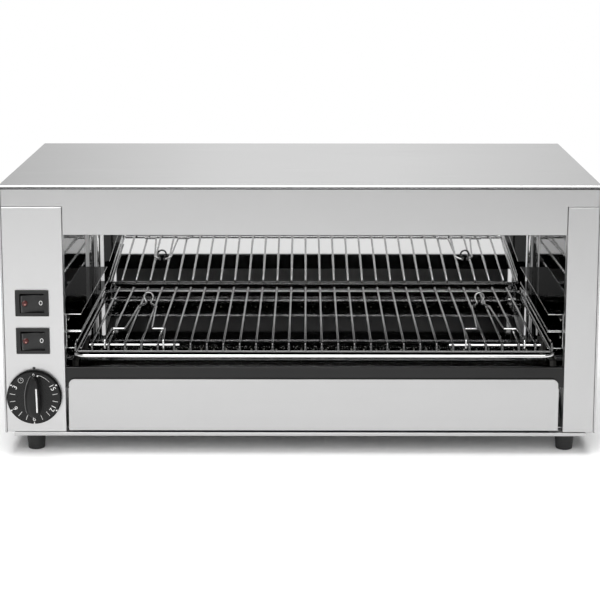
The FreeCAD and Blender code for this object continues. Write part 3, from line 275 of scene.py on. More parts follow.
def object_noise(tree, stretch, detail=3.0):
    """Noise in the object's own metres, squeezed by a factor on each axis."""
    place = add(tree, "ShaderNodeTexCoord")
    mapping = add(tree, "ShaderNodeMapping")
    mapping.inputs["Scale"].default_value = stretch
    noise = add(tree, "ShaderNodeTexNoise", Scale=1.0, Detail=detail, Roughness=0.5)
    tree.links.new(place.outputs["Object"], mapping.inputs["Vector"])
    tree.links.new(mapping.outputs["Vector"], noise.inputs["Vector"])
    return noise.outputs["Fac"]


def spread(tree, source, start, end, low_value=0.3, high_value=0.7):
    """Maps a grey value onto a range."""
    node = add(tree, "ShaderNodeMapRange")
    node.inputs["From Min"].default_value = low_value
    node.inputs["From Max"].default_value = high_value
    node.inputs["To Min"].default_value = start
    node.inputs["To Max"].default_value = end
    tree.links.new(source, node.inputs["Value"])
    return node.outputs["Result"]


def mixed_colour(tree, source, first, second):
    """Blends two colours by a grey value."""
    node = add(tree, "ShaderNodeMix")
    node.data_type = "RGBA"
    node.inputs[6].default_value = (*first, 1)
    node.inputs[7].default_value = (*second, 1)
    tree.links.new(source, node.inputs["Factor"])
    return node.outputs[2]


def bump(tree, shader, source, strength, distance):
    """Adds relief to a shader."""
    node = add(tree, "ShaderNodeBump", Strength=strength, Distance=distance)
    tree.links.new(source, node.inputs["Height"])
    tree.links.new(node.outputs["Normal"], shader.inputs["Normal"])


def sheet_metal(name, colour, roughness, grain, grain_strength=0.08, blotch=0.04):
    """Rolled or brushed steel: fine streaks along one way, and soft changes of tone."""
    made, tree, shader = new_material(name)
    streaks = object_noise(tree, grain, detail=4.0)
    clouds = object_noise(tree, (9, 9, 9), detail=4.0)
    darker = [value * (1 - blotch) for value in colour]
    lighter = [min(value * (1 + blotch), 1) for value in colour]
    tone = mixed_colour(tree, clouds, darker, lighter)
    tree.links.new(tone, shader.inputs["Base Color"])
    tree.links.new(spread(tree, streaks, roughness * 0.92, roughness * 1.08), shader.inputs["Roughness"])
    shader.inputs["Metallic"].default_value = 1.0
    bump(tree, shader, streaks, grain_strength, 0.1 * MM)
    return made


def chrome(name, colour, roughness, painted_shade_before=None):
    """Bright plating with a little haze; in front of a given depth its colour can drop to a fifth, a painted
    shade.
    """
    made, tree, shader = new_material(name)
    haze = object_noise(tree, (60, 60, 60), detail=5.0)
    tone = mixed_colour(tree, haze, [value * 0.9 for value in colour], colour)
    # Painted shade: the colour falls to a fifth in front of the given depth
    if painted_shade_before:
        place = add(tree, "ShaderNodeTexCoord")
        parts = add(tree, "ShaderNodeSeparateXYZ")
        tree.links.new(place.outputs["Object"], parts.inputs["Vector"])
        share = spread(tree, parts.outputs["Y"], 0.2, 1.0, painted_shade_before - 0.6 * MM, painted_shade_before + 0.6 * MM)
        shaded = add(tree, "ShaderNodeVectorMath", operation="SCALE")
        tree.links.new(tone, shaded.inputs["Vector"])
        tree.links.new(share, shaded.inputs["Scale"])
        tone = shaded.outputs["Vector"]
    tree.links.new(tone, shader.inputs["Base Color"])
    tree.links.new(spread(tree, haze, roughness * 0.6, roughness * 1.6), shader.inputs["Roughness"])
    shader.inputs["Metallic"].default_value = 1.0
    return made


def plastic(name, colour, roughness, grain_size=1400, grain_strength=0.12, shine=0.5):
    """Moulded plastic with a fine grain."""
    made, tree, shader = new_material(name)
    grain = object_noise(tree, (grain_size,) * 3, detail=2.0)
    clouds = object_noise(tree, (70, 70, 70), detail=3.0)
    lighter = [min(value * 1.2, 1) for value in colour]
    tone = mixed_colour(tree, clouds, [value * 0.8 for value in colour], lighter)
    tree.links.new(tone, shader.inputs["Base Color"])
    tree.links.new(spread(tree, grain, roughness * 0.85, roughness * 1.15), shader.inputs["Roughness"])
    shader.inputs["Specular IOR Level"].default_value = shine
    bump(tree, shader, grain, grain_strength, 0.05 * MM)
    return made


def glass(name, colour, bending=1.3):
    """Quartz with faint drawn streaks."""
    made, tree, shader = new_material(name)
    streaks = object_noise(tree, (6, 500, 500), detail=3.0)
    tone = mixed_colour(tree, streaks, [value * 0.92 for value in colour], colour)
    tree.links.new(tone, shader.inputs["Base Color"])
    tree.links.new(spread(tree, streaks, 0.02, 0.08), shader.inputs["Roughness"])
    shader.inputs["Transmission Weight"].default_value = 1.0
    shader.inputs["IOR"].default_value = bending
    return made


def grey(value):
    return value, value, value


def shader_input(material, name):
    return material.node_tree.nodes["Principled BSDF"].inputs[name]


GRAIN_ACROSS = (12, 700, 700)
GRAIN_UPRIGHT = (700, 700, 12)
GRAIN_PLAIN = (30, 30, 400)
GRAIN_RAIL = (4, 300, 300)
GRAIN_GUIDE = (60, 6, 60)
GRAIN_LINER = (3, 3, 3)
GRAIN_TRAY = (5, 5, 5)
# Depth in front of which the grid wires' drops get a painted shade
DROP_SHADE_DEPTH = -152.2 * MM

STAINLESS = sheet_metal("stainless_sheet", grey(0.545), 0.33, GRAIN_ACROSS, 0.006, blotch=0.015)
# A lighter copy of the front stainless for the control panel: painted light
PANEL_SHEET_LIT = sheet_metal("control_panel_sheet_painted_light", grey(0.61), 0.33, GRAIN_UPRIGHT, 0.006, blotch=0.015)
COLUMN_SHEET = sheet_metal("stainless_upright_grain", grey(0.56), 0.33, GRAIN_UPRIGHT, 0.006, blotch=0.015)
# A much lighter copy of the stainless for the top cover: painted light
COVER_SHEET_LIT = sheet_metal("cover_sheet_painted_light", grey(0.84), 0.24, GRAIN_ACROSS, 0.008, blotch=0.02)
LINER = sheet_metal("chamber_sheet", grey(0.58), 0.025, GRAIN_LINER, 0.0, blotch=0.05)
# A darker copy of the chamber sheet for the side walls: painted shade
SIDE_LINER_SHADED = sheet_metal("chamber_side_sheet_painted_shade", grey(0.22), 0.025, GRAIN_LINER, 0.0, blotch=0.05)
RAIL_SHEET = sheet_metal("rail_sheet", grey(0.036), 0.3, GRAIN_RAIL, 0.02, blotch=0.15)
PLAIN_SHEET = sheet_metal("plain_sheet", grey(0.5), 0.3, GRAIN_PLAIN)
TRAY_SHEET = sheet_metal("tray_sheet", grey(0.4), 0.05, GRAIN_TRAY, 0.0, blotch=0.1)
# Near-black sheet for the rack guides, a painted shade, with a grey specular tint set below
GUIDE_SHEET_SHADED = sheet_metal("guide_sheet_painted_shade", grey(0.03), 0.04, GRAIN_GUIDE, 0.0, blotch=0.3)
for metal, tint in ((GUIDE_SHEET_SHADED, 0.6), (SIDE_LINER_SHADED, 0.7)):
    shader_input(metal, "Specular Tint").default_value = (*grey(tint), 1)
CHROME = chrome("chromed_wire", grey(0.82), 0.08)
GRID_CHROME_SHADED_DROPS = chrome("chromed_grid_wire_painted_shade", grey(0.82), 0.08, painted_shade_before=DROP_SHADE_DEPTH)
# A darker copy of the chrome for the rack's front cross wire: painted shade
SHADED_CHROME_WIRE = chrome("chromed_wire_painted_shade", grey(0.14), 0.2)
STEEL = chrome("zinc_plated_steel", (0.6, 0.6, 0.58), 0.25)
COIL_METAL = chrome("resistance_wire", grey(0.025), 0.5)
BLACK_RUBBER = plastic("black_rubber", grey(0.02), 0.6, 900, 0.25)
BLACK_PLASTIC = plastic("black_plastic", grey(0.012), 0.45, shine=0.35)
BLACK_GRAINED = plastic("black_grained_plastic", grey(0.014), 0.4, 900, 0.3, shine=0.4)
# A lighter copy of the black plastic: painted light that lifts the shade in the rocker's slot
SKIRT_LIGHTENED_PLASTIC = plastic("rocker_skirt_painted_light", grey(0.07), 0.5)
MATT_BLACK = plastic("matt_black_plastic", grey(0.008), 0.7, shine=0.0)
GRIP_BLACK = plastic("grip_black", grey(0.008), 0.5, shine=0.3)
# Lighter grey for the bead that paints the grip's edge highlight
GRIP_HIGHLIGHT_PLASTIC = plastic("grip_edge_painted_highlight", grey(0.16), 0.3)
KNOB_BLACK = plastic("knob_black", grey(0.006), 0.28, 1800, 0.03, shine=0.3)
PALE_PLASTIC = plastic("pale_plastic", (0.75, 0.75, 0.7), 0.4)
CERAMIC = plastic("white_ceramic", (0.8, 0.79, 0.74), 0.7, 800, 0.3)
INSULATOR = plastic("grey_ceramic", (0.12, 0.118, 0.11), 0.6, 800, 0.3)
# An emissive white that paints the highlight in the chamber's back corners; it glows though it is no lamp
CORNER_HIGHLIGHT_GLOW = plastic("painted_corner_highlight", grey(0.92), 0.3, 600, 0.1)
shader_input(CORNER_HIGHLIGHT_GLOW, "Emission Color").default_value = (1, 1, 1, 1)
shader_input(CORNER_HIGHLIGHT_GLOW, "Emission Strength").default_value = 0.5
QUARTZ = {"front": glass("quartz", grey(0.35), 1.2), "rear": glass("rear_quartz", grey(0.5), 1.12)}
RED_LENS = plastic("red_lens", (0.06, 0.008, 0.007), 0.14, 500, 0.05)
# Pale red for a bead that paints a glint on the switch lamp's lens
LAMP_GLINT_PAINT = plastic("lamp_painted_glint", (0.45, 0.2, 0.17), 0.4)
WHITE_PRINT = plastic("white_print", (0.8, 0.8, 0.79), 0.5, 2500, 0.1)
BLACK_PRINT = plastic("black_print", grey(0.015), 0.5, 2500, 0.1)


def give(node_name, material):
    """Puts one material on a carried-over solid."""
    slots = nodes[node_name].data.materials
    slots.clear()
    slots.append(material)


for material, names in (
        (STAINLESS, ["front_fascia", "crumb_tray_front", "base_plate"]),
        (COVER_SHEET_LIT, ["top_cover"]),
        (PANEL_SHEET_LIT, ["control_panel"]),
        (COLUMN_SHEET, ["right_column", "left_side_panel", "right_side_panel"]),
        (PLAIN_SHEET, ["back_panel", "left_tray_runner", "right_tray_runner"]),
        (TRAY_SHEET, ["crumb_tray_pan"]),
        (SIDE_LINER_SHADED, ["chamber_left_wall", "chamber_right_wall"]),
        (LINER, ["chamber_ceiling"]),
        (GUIDE_SHEET_SHADED, GUIDES),
        (STEEL, ["back_panel_screws"]),
        (INSULATOR, [tube + "_insulators" for tube in TUBES]),
        (BLACK_PLASTIC, [level + "_switch_housing" for level in LEVELS]),
        (BLACK_PLASTIC, ["timer_body", "cable_gland", "gland_locknut"]),
        (PALE_PLASTIC, ["terminal_block"])):
    for name in names:
        give(name, material)

# The plane of the front sheets, and the three directions
FRONT = low("control_panel").y
ALONG_X = Vector((1, 0, 0))
ALONG_Y = Vector((0, 1, 0))
ALONG_Z = Vector((0, 0, 1))


def new_object(name, data):
    made = bpy.data.objects.new(name, data)
    bpy.context.scene.collection.objects.link(made)
    return made


# Wires: smooth round bars along rounded paths

def rounded_path(points, radius, closed=False, steps=8):
    """The points of a path whose corners are rounded."""
    made = []
    count = len(points)
    for index, point in enumerate(points):
        if not closed and index in (0, count - 1):
            made.append(point)
            continue
        before = points[index - 1]
        after = points[(index + 1) % count]
        towards = (before - point).normalized()
        onwards = (after - point).normalized()
        opening = towards.angle(onwards)
        reach = radius / max(math.tan(opening / 2), 0.05)
        reach = min(reach, (before - point).length * 0.49, (after - point).length * 0.49)
        start = point + towards * reach
        end = point + onwards * reach
        for step in range(steps + 1):
            share = step / steps
            made.append(start.lerp(point, share).lerp(point.lerp(end, share), share))
    return made


def wire_object(name, body, paths, diameter, material, closed=False, sides=4):
    """One piece made of round wires that follow the given paths."""
    data = bpy.data.curves.new(name, "CURVE")
    data.dimensions = "3D"
    data.bevel_depth = diameter / 2
    data.bevel_resolution = sides
    data.use_fill_caps = True
    for path in paths:
        spline = data.splines.new("POLY")
        spline.points.add(len(path) - 1)
        for target, point in zip(spline.points, path):
            target.co = (*point, 1)
        spline.use_cyclic_u = closed
        spline.use_smooth = True
    data.materials.append(material)
    made = new_object(name, data)
    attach(made, body)
    return made


def mesh_object(name, body, points, faces, material, smooth=True, matrix=None):
    """One piece from points and faces, with outward faces and smooth shading."""
    data = bpy.data.meshes.new(name)
    shape = bmesh.new()
    corners = [shape.verts.new(matrix @ Vector(point) if matrix else point) for point in points]
    for face in faces:
        shape.faces.new([corners[index] for index in face])
    bmesh.ops.remove_doubles(shape, verts=shape.verts, dist=1e-7)
    bmesh.ops.recalc_face_normals(shape, faces=shape.faces)
    for face in shape.faces:
        face.smooth = smooth
    for edge in shape.edges:
        if len(edge.link_faces) == 2 and edge.calc_face_angle() > SHARP_ANGLE:
            edge.smooth = False
    shape.to_mesh(data)
    shape.free()
    data.materials.append(material)
    made = new_object(name, data)
    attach(made, body)
    return made


def loft(name, body, rings, material, matrix=None, closed_ends=True):
    """A skin over rings that have the same number of points."""
    count = len(rings[0])
    points = [point for ring in rings for point in ring]
    faces = []
    for level in range(len(rings) - 1):
        for index in range(count):
            after = (index + 1) % count
            faces.append((level * count + index, level * count + after,
                          (level + 1) * count + after, (level + 1) * count + index))
    if closed_ends:
        faces.append(tuple(range(count)))
        faces.append(tuple(range((len(rings) - 1) * count, len(rings) * count)))
    return mesh_object(name, body, points, faces, material, matrix=matrix)


def turned(name, body, profile, centre, axis, material, steps=48, closed_ends=True):
    """A turned piece: pairs of radius and distance along its axis."""
    matrix = Matrix.Translation(centre) @ axis.to_track_quat("Z", "Y").to_matrix().to_4x4()
    rings = [[Vector((x, y, distance)) for x, y in circle(radius, steps)] for radius, distance in profile]
    return loft(name, body, rings, material, matrix, closed_ends)


# Rack

def rack_lines():
    """Heights and edges of the rack's wires at rest."""
    frame_low, frame_high = low("rack_frame"), high("rack_frame")
    half = FRAME_WIRE / 2
    middle_z = (frame_low.z + frame_high.z) / 2
    return {
        "left": frame_low.x + half, "right": frame_high.x - half,
        "front": frame_low.y + half, "rear": frame_high.y - half,
        "frame_z": middle_z, "grid_z": middle_z + GRID_RISE,
        "cross_z": middle_z + GRID_RISE - GRID_WIRE / 2 - CROSS_WIRE / 2,
    }


RACK = rack_lines()


def make_rack_frame():
    z = RACK["frame_z"]
    rear_z = RACK["cross_z"]
    bend_y = RACK["rear"] - FRAME_REAR_RISE
    corners = [Vector((RACK["left"], RACK["front"], z)), Vector((RACK["right"], RACK["front"], z)),
               Vector((RACK["right"], bend_y, z)), Vector((RACK["right"], RACK["rear"], rear_z)),
               Vector((RACK["left"], RACK["rear"], rear_z)), Vector((RACK["left"], bend_y, z))]
    loop = rounded_path(corners, FRAME_CORNER, closed=True, steps=10)
    piece = wire_object("rack_frame_wire", "rack", [loop], FRAME_BAR, CHROME, closed=True, sides=6)
    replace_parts(piece, "rack_frame")


def make_rack_grid():
    grid_low, grid_high = low("rack_grid"), high("rack_grid")
    first = grid_low.x + GRID_WIRE / 2
    last = grid_high.x - GRID_WIRE / 2
    front = grid_low.y + GRID_WIRE / 2
    rear = grid_high.y - GRID_WIRE / 2
    top = RACK["grid_z"]
    end = RACK["frame_z"] + FRAME_BAR / 4
    rear_end = RACK["cross_z"]
    paths = []
    for index in range(GRID_COUNT):
        x = first + (last - first) * index / (GRID_COUNT - 1)
        points = [Vector((x, front, end)), Vector((x, front, top)),
                  Vector((x, rear, top)), Vector((x, rear, rear_end))]
        paths.append(rounded_path(points, GRID_BEND))
    piece = wire_object("rack_grid_wires", "rack", paths, GRID_WIRE, GRID_CHROME_SHADED_DROPS)
    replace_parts(piece, "rack_grid")


def bar_range(side):
    """Ends of the short bar that carries a handle."""
    if side == LEFT:
        start = RACK["left"] + LEFT_BAR_INSET
        return start, start + LEFT_BAR_LENGTH
    end = RACK["right"] - RIGHT_BAR_INSET
    return end - RIGHT_BAR_LENGTH, end


def make_cross_wires():
    half = FRAME_WIRE / 2
    left, right = RACK["left"] + half, RACK["right"] - half
    spans = [(left, right, FRONT - FRONT_CROSS_OUT, RACK["frame_z"] + half - CROSS_WIRE / 2),
             (left, right, RACK["rear"] - REAR_SUPPORT_INSET, RACK["cross_z"])]
    for side in (LEFT, RIGHT):
        start, end = bar_range(side)
        spans.append((start, end, FRONT, RACK["cross_z"]))
    paths = [[Vector((start, y, z)), Vector(((start + end) / 2, y, z)), Vector((end, y, z))]
             for start, end, y, z in spans]
    # The front cross wire gets the darker chrome, a painted shade
    wire_object("rack_front_cross_wire", "rack", paths[:1], CROSS_BAR, SHADED_CHROME_WIRE)
    piece = wire_object("rack_cross_wires_round", "rack", paths[1:], CROSS_BAR, CHROME)
    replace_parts(piece, "rack_cross_wires")


def make_handle(side):
    """Bent wire: two hooks round the bar, a waist and an upright ring."""
    name = side_name(side)
    centre = sum(bar_range(side)) / 2
    bar_z = RACK["cross_z"]
    top = high(name + "_rack_handle").z
    level = top - HANDLE_WIRE / 2 - HANDLE_RING_HEIGHT
    neck_y = FRONT + HANDLE_NECK_DEPTH
    hip_y = FRONT + HANDLE_HIP_DEPTH
    shoulder_y = FRONT + HANDLE_SHOULDER_DEPTH
    ring_z = top - HANDLE_WIRE / 2 - HANDLE_RING_RADIUS

    def half(sign):
        foot_x = centre + sign * HANDLE_FOOT_HALF
        return [
            Vector((foot_x, FRONT + HOOK_REACH, bar_z + HOOK_TAIL)),
            Vector((foot_x, FRONT + HOOK_REACH, bar_z - HOOK_REACH)),
            Vector((foot_x, FRONT - HOOK_REACH, bar_z - HOOK_REACH)),
            Vector((foot_x, FRONT - HOOK_REACH, level)),
            Vector((centre + sign * HANDLE_HIP_HALF, hip_y, level)),
            Vector((centre + sign * HANDLE_WAIST_HALF, hip_y, level)),
            Vector((centre + sign * HANDLE_SHOULDER_HALF, shoulder_y, level)),
            Vector((centre + sign * HANDLE_NECK_HALF, neck_y, level)),
        ]

    reach = math.hypot(HANDLE_NECK_HALF, ring_z - level)
    start_angle = math.atan2(level - ring_z, HANDLE_NECK_HALF) + math.acos(HANDLE_RING_RADIUS / reach)
    ring = []
    for step in range(HANDLE_RING_STEPS + 1):
        angle = math.pi - start_angle - (math.pi - 2 * start_angle) * step / HANDLE_RING_STEPS
        ring.append(Vector((centre + HANDLE_RING_RADIUS * math.cos(angle), neck_y,
                            ring_z + HANDLE_RING_RADIUS * math.sin(angle))))
    left = rounded_path(half(LEFT) + [ring[0]], HANDLE_BEND)
    right = rounded_path(half(RIGHT) + [ring[-1]], HANDLE_BEND)
    path = left[:-1] + ring + right[::-1][1:]
    piece = wire_object(name + "_handle_wire", name + "_handle", [path], HANDLE_BAR, CHROME)
    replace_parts(piece, name + "_rack_handle")


# Heating tubes

def make_tubes():
    for tube in TUBES:
        node = tube + "_heating_tube"
        centre = middle(node)
        start = Vector((low(node).x, centre.y, centre.z))
        length = high(node).x - low(node).x
        outer = (high(node).z - low(node).z) / 2
        inner = outer - TUBE_WALL
        rim = TUBE_WALL / 4
        profile = [(inner, rim), (inner + rim, 0), (outer - rim, 0), (outer, rim), (outer, length - rim),
                   (outer - rim, length), (inner + rim, length), (inner, length - rim), (inner, rim)]
        piece = turned(tube + "_quartz", "housing", profile, start, ALONG_X, QUARTZ[tube.split("_")[1]],
                       TUBE_STEPS, closed_ends=False)
        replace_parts(piece, node)


def make_coils():
    paths = []
    for tube in TUBES:
        node = tube + "_heating_tube"
        centre = middle(node)
        first, last = low(node).x + TUBE_WALL, high(node).x - TUBE_WALL
        count = int((last - first) / COIL_PITCH) * COIL_POINTS_PER_TURN
        path = []
        for index in range(count + 1):
            angle = 2 * math.pi * index / COIL_POINTS_PER_TURN
            path.append(Vector((first + (last - first) * index / count,
                                centre.y + COIL_DIAMETER / 2 * math.cos(angle),
                                centre.z + COIL_DIAMETER / 2 * math.sin(angle))))
        paths.append(path)
    piece = wire_object("heating_coils", "housing", paths, COIL_WIRE, COIL_METAL, sides=1)
    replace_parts(piece, "heater_cores")


def ball(steps):
    """Points and faces of a ball whose radius is one."""
    points = []
    faces = []
    for ring in range(steps + 1):
        rise = math.pi * ring / steps
        width = math.sin(rise)
        points += [Vector((width * x, width * y, math.cos(rise))) for x, y in circle(1, steps)]
    for ring in range(steps):
        corner = ring * steps
        for step in range(steps):
            after = (step + 1) % steps
            if ring == 0:
                faces.append([corner, corner + steps + after, corner + steps + step])
            elif ring == steps - 1:
                faces.append([corner + step, corner + after, corner + steps])
            else:
                faces.append([corner + step, corner + after, corner + steps + after, corner + steps + step])
    return points, faces


def make_coil_beads():
    """Small round supports along each coil."""
    ball_points, ball_faces = ball(BEAD_STEPS)
    points = []
    faces = []
    for tube in TUBES:
        node = tube + "_heating_tube"
        centre = middle(node)
        first, last = low(node).x, high(node).x
        count = int((last - first) / BEAD_PITCH)
        for index in range(1, count):
            x = first + (last - first) * index / count
            place = Vector((x, centre.y - COIL_DIAMETER / 2, centre.z))
            faces += [[len(points) + corner for corner in face] for face in ball_faces]
            points += [place + BEAD_RADIUS * point for point in ball_points]
    mesh_object("coil_beads", "housing", points, faces, CERAMIC)


def make_guard_rods():
    node = "upper_guard_rods"
    z = middle(node).z
    rear = high(node).y - GUARD_WIRE / 2
    front = low(node).y + GUARD_WIRE / 2
    paths = []
    for y in (front, (front + rear) / 2, rear):
        paths.append([Vector((low(node).x, y, z)), Vector((0, y, z)), Vector((high(node).x, y, z))])
    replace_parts(wire_object("guard_rods_round", "housing", paths, GUARD_WIRE, CHROME), node)


# Chamber

def back_shift(z):
    """How far the leaning back sheet lies from its upright place at a height."""
    return -(z - BACK_LEAN_HEIGHT) * math.tan(BACK_LEAN)


def make_back_wall():
    """A sheet whose sides turn forward in a round bend; it leans forward a little at the top."""
    node = "chamber_back_wall"
    wall_low, wall_high = low(node), high(node)
    outline = []
    for side in (LEFT, RIGHT):
        x = wall_low.x + SHEET if side == LEFT else wall_high.x - SHEET
        bend = []
        for step in range(BACK_BEND_STEPS + 1):
            angle = math.pi / 2 * step / BACK_BEND_STEPS
            bend.append((x - side * BACK_BEND * (1 - math.cos(angle)),
                         wall_high.y - SHEET - BACK_BEND * (1 - math.sin(angle))))
        if side == LEFT:
            outline += [(x, wall_low.y)] + bend
        else:
            outline += bend[::-1] + [(x, wall_low.y)]
    back = []
    for index, (x, y) in enumerate(outline):
        before = outline[max(index - 1, 0)]
        after = outline[min(index + 1, len(outline) - 1)]
        along = Vector((after[0] - before[0], after[1] - before[1])).normalized()
        back.append((x - along.y * SHEET * 0.9, y + along.x * SHEET * 0.9))
    ring = outline + back[::-1]
    rings = []
    for z in (wall_low.z, wall_high.z):
        rings.append([Vector((x, min(y + back_shift(z), wall_high.y), z)) for x, y in ring])
    piece = loft("chamber_back_sheet", "housing", rings, LINER)
    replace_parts(piece, node)

    # A glowing white strip in each back corner paints the highlight of the bend
    for side in (LEFT, RIGHT):
        inset, width = CORNER_HIGHLIGHT_FROM_SIDE[side], CORNER_HIGHLIGHT_WIDTH[side]
        x = wall_low.x + inset if side == LEFT else wall_high.x - inset
        path = []
        for z in (CORNER_HIGHLIGHT_BOTTOM, (CORNER_HIGHLIGHT_BOTTOM + wall_high.z) / 2, wall_high.z - SHEET):
            y = min(wall_high.y - SHEET + back_shift(z), wall_high.y - SHEET) - width / 2
            path.append(Vector((x, y, z)))
        wire_object(side_name(side) + "_corner_painted_highlight", "housing", [path], width, CORNER_HIGHLIGHT_GLOW)


def make_guide_edges():
    """Bright rolled edges on the rack guides."""
    paths = []
    half = GUIDE_EDGE / 2
    for side in (LEFT, RIGHT):
        for level in LEVELS:
            node = side_name(side) + "_" + level + "_guide"
            node_low, node_high = low(node), high(node)
            free_x = node_high.x if side == LEFT else node_low.x
            wall_x = node_low.x + half if side == LEFT else node_high.x - half
            front, rear = node_low.y - half / 2, node_high.y - half
            top, bottom = node_high.z - half, node_low.z + half
            corners = [(free_x, top), (wall_x, top), (wall_x, bottom), (free_x, bottom)]
            paths.append(rounded_path([Vector((x, front, z)) for x, z in corners], half))
            for z in (top, bottom):
                paths.append([Vector((free_x, front, z)), Vector((free_x, rear, z))])
    wire_object("guide_edges", "housing", paths, GUIDE_EDGE, CHROME, sides=2)


def make_cover_shadow_gap():
    """A black strip that paints the shadow in the gap between the cover and the body below it, round the
    front and both sides.
    """
    cover_low, cover_high = low("top_cover"), high("top_cover")
    half = SHADOW_GAP_WIDTH / 2
    z = cover_low.z + half * 0.2
    path = rounded_path([Vector((cover_low.x + half, cover_high.y - half * 2, z)),
                         Vector((cover_low.x + half, cover_low.y + half * 0.5, z)),
                         Vector((cover_high.x - half, cover_low.y + half * 0.5, z)),
                         Vector((cover_high.x - half, cover_high.y - half * 2, z))], half)
    # Here the black rubber paints the shadow in the gap
    wire_object("cover_painted_shadow_gap", "housing", [path], SHADOW_GAP_WIDTH, BLACK_RUBBER, sides=2)


def make_front_rail():
    """A folded strip between the columns, just above the crumb tray's front."""
    x_left = high("control_panel").x
    x_right = low("right_column").x
    face = FRONT + RAIL_SETBACK
    outline = [(face, RAIL_BOTTOM)]
    for step in range(RAIL_RADIUS_STEPS + 1):
        angle = math.pi / 2 * step / RAIL_RADIUS_STEPS
        outline.append((face + RAIL_RADIUS * (1 - math.cos(angle)),
                        RAIL_TOP - RAIL_RADIUS * (1 - math.sin(angle))))
    outline += [(face + RAIL_FOLD, RAIL_TOP), (face + RAIL_FOLD, RAIL_TOP - SHEET * 0.8),
                (face + SHEET * 0.8, RAIL_TOP - SHEET * 0.8), (face + SHEET * 0.8, RAIL_BOTTOM)]
    rings = [[Vector((x, y, z)) for y, z in outline] for x in (x_left, x_right)]
    loft("lower_front_rail", "housing", rings, RAIL_SHEET)


# Feet

def make_feet():
    """Four turned feet, wider at the top, each with a stem in the base."""
    feet_low, feet_high = low("rubber_feet"), high("rubber_feet")
    radius = FOOT_RADIUS
    foot_top = low("base_plate").z
    stem_top = feet_high.z
    for x in (feet_low.x + radius, feet_high.x - radius):
        for y in (feet_low.y + radius, feet_high.y - radius):
            profile = [(radius * 0.72, 0), (radius * 0.80, 0.3 * MM), (radius * 0.84, 1.2 * MM),
                       (radius * 0.99, foot_top - 3 * MM), (radius, foot_top - 1.2 * MM),
                       (radius * 0.97, foot_top - 0.3 * MM), (radius * 0.9, foot_top),
                       (radius * 0.38, foot_top), (radius * 0.38, stem_top - 0.6 * MM),
                       (radius * 0.3, stem_top)]
            label = ("front" if y < 0 else "rear") + ("_left" if x < 0 else "_right") + "_foot"
            yield turned(label, "housing", profile, Vector((x, y, 0)), ALONG_Z, BLACK_RUBBER)


# Rocker switches

def rounded_rectangle(half_x, half_z, radius, steps=5):
    """Corner points of a rounded rectangle, as pairs."""
    made = []
    for corner_x, corner_z, first in ((1, 1, 0), (-1, 1, 1), (-1, -1, 2), (1, -1, 3)):
        for step in range(steps + 1):
            angle = math.pi / 2 * (first + step / steps)
            made.append((corner_x * (half_x - radius) + radius * math.cos(angle),
                         corner_z * (half_z - radius) + radius * math.sin(angle)))
    return made


def make_bezel(level):
    """A raised rim round the rocker, with a rounded outer edge."""
    node = level + "_switch_housing"
    bezel_low, bezel_high = low(node), high(node)
    centre = middle(node)
    half_x = (bezel_high.x - bezel_low.x) / 2
    half_z = (bezel_high.z - bezel_low.z) / 2
    proud = FRONT - bezel_low.y + PRINT_RISE
    edge = BEZEL_EDGE
    lip_x, lip_z = BEZEL_SIDE_LIP, BEZEL_END_LIP
    levels = [(0.0, 0.0, 0.0), (0.0, 0.0, proud - edge), (edge * 0.3, edge * 0.3, proud - edge * 0.3),
              (edge, edge, proud), (edge * 1.3, edge * 1.3, proud),
              (lip_x - edge * 0.8, lip_z - edge * 0.8, proud),
              (lip_x - edge * 0.4, lip_z - edge * 0.4, proud),
              (lip_x, lip_z, proud - edge * 0.4), (lip_x, lip_z, 0.0)]
    rings = []
    for inset_x, inset_z, rise in levels:
        corner = max(BEZEL_CORNER - inset_x * 0.4, 0.4 * MM)
        outline = rounded_rectangle(half_x - inset_x, half_z - inset_z, corner)
        rings.append([Vector((centre.x + x, FRONT - rise, centre.z + z)) for x, z in outline])
    return loft(level + "_switch_bezel", "housing", rings, BLACK_PLASTIC, closed_ends=False)


def rocker_matrix(level):
    centre = middle(level + "_switch_housing")
    place = Vector((centre.x, FRONT + ROCKER_PIVOT_DEPTH, centre.z))
    return Matrix.Translation(place) @ Matrix.Rotation(ROCKER_TILT, 4, "Z")


def rocker_face(x):
    """How far the level rocker's dished face stands before its pivot."""
    return ROCKER_END_RISE - ROCKER_DISH * (1 - (x / ROCKER_HALF_WIDTH) ** 2)


def rocker_outline(inset):
    """The rocker seen from above: a dished face, and a round skirt that keeps close to the frame."""
    half = ROCKER_HALF_WIDTH - inset
    skirt = ROCKER_SKIRT - inset
    steps = 18
    made = []
    for step in range(steps + 1):
        x = -half + 2 * half * step / steps
        round_off = max(0, abs(x) - half + ROCKER_CORNER) / ROCKER_CORNER
        made.append((x, -rocker_face(x) + inset + ROCKER_CORNER * 0.4 * round_off ** 2))
    right, left = [], []
    for share in (0.25, 0.6, 1.0):
        y = -rocker_face(half) * (1 - share) + (ROCKER_BACK - inset) * share
        reach = math.sqrt(skirt ** 2 - y ** 2)
        left.append((-reach, y))
        right.append((half + (reach - half) * 0.3, y))
    return made + right + left[::-1]


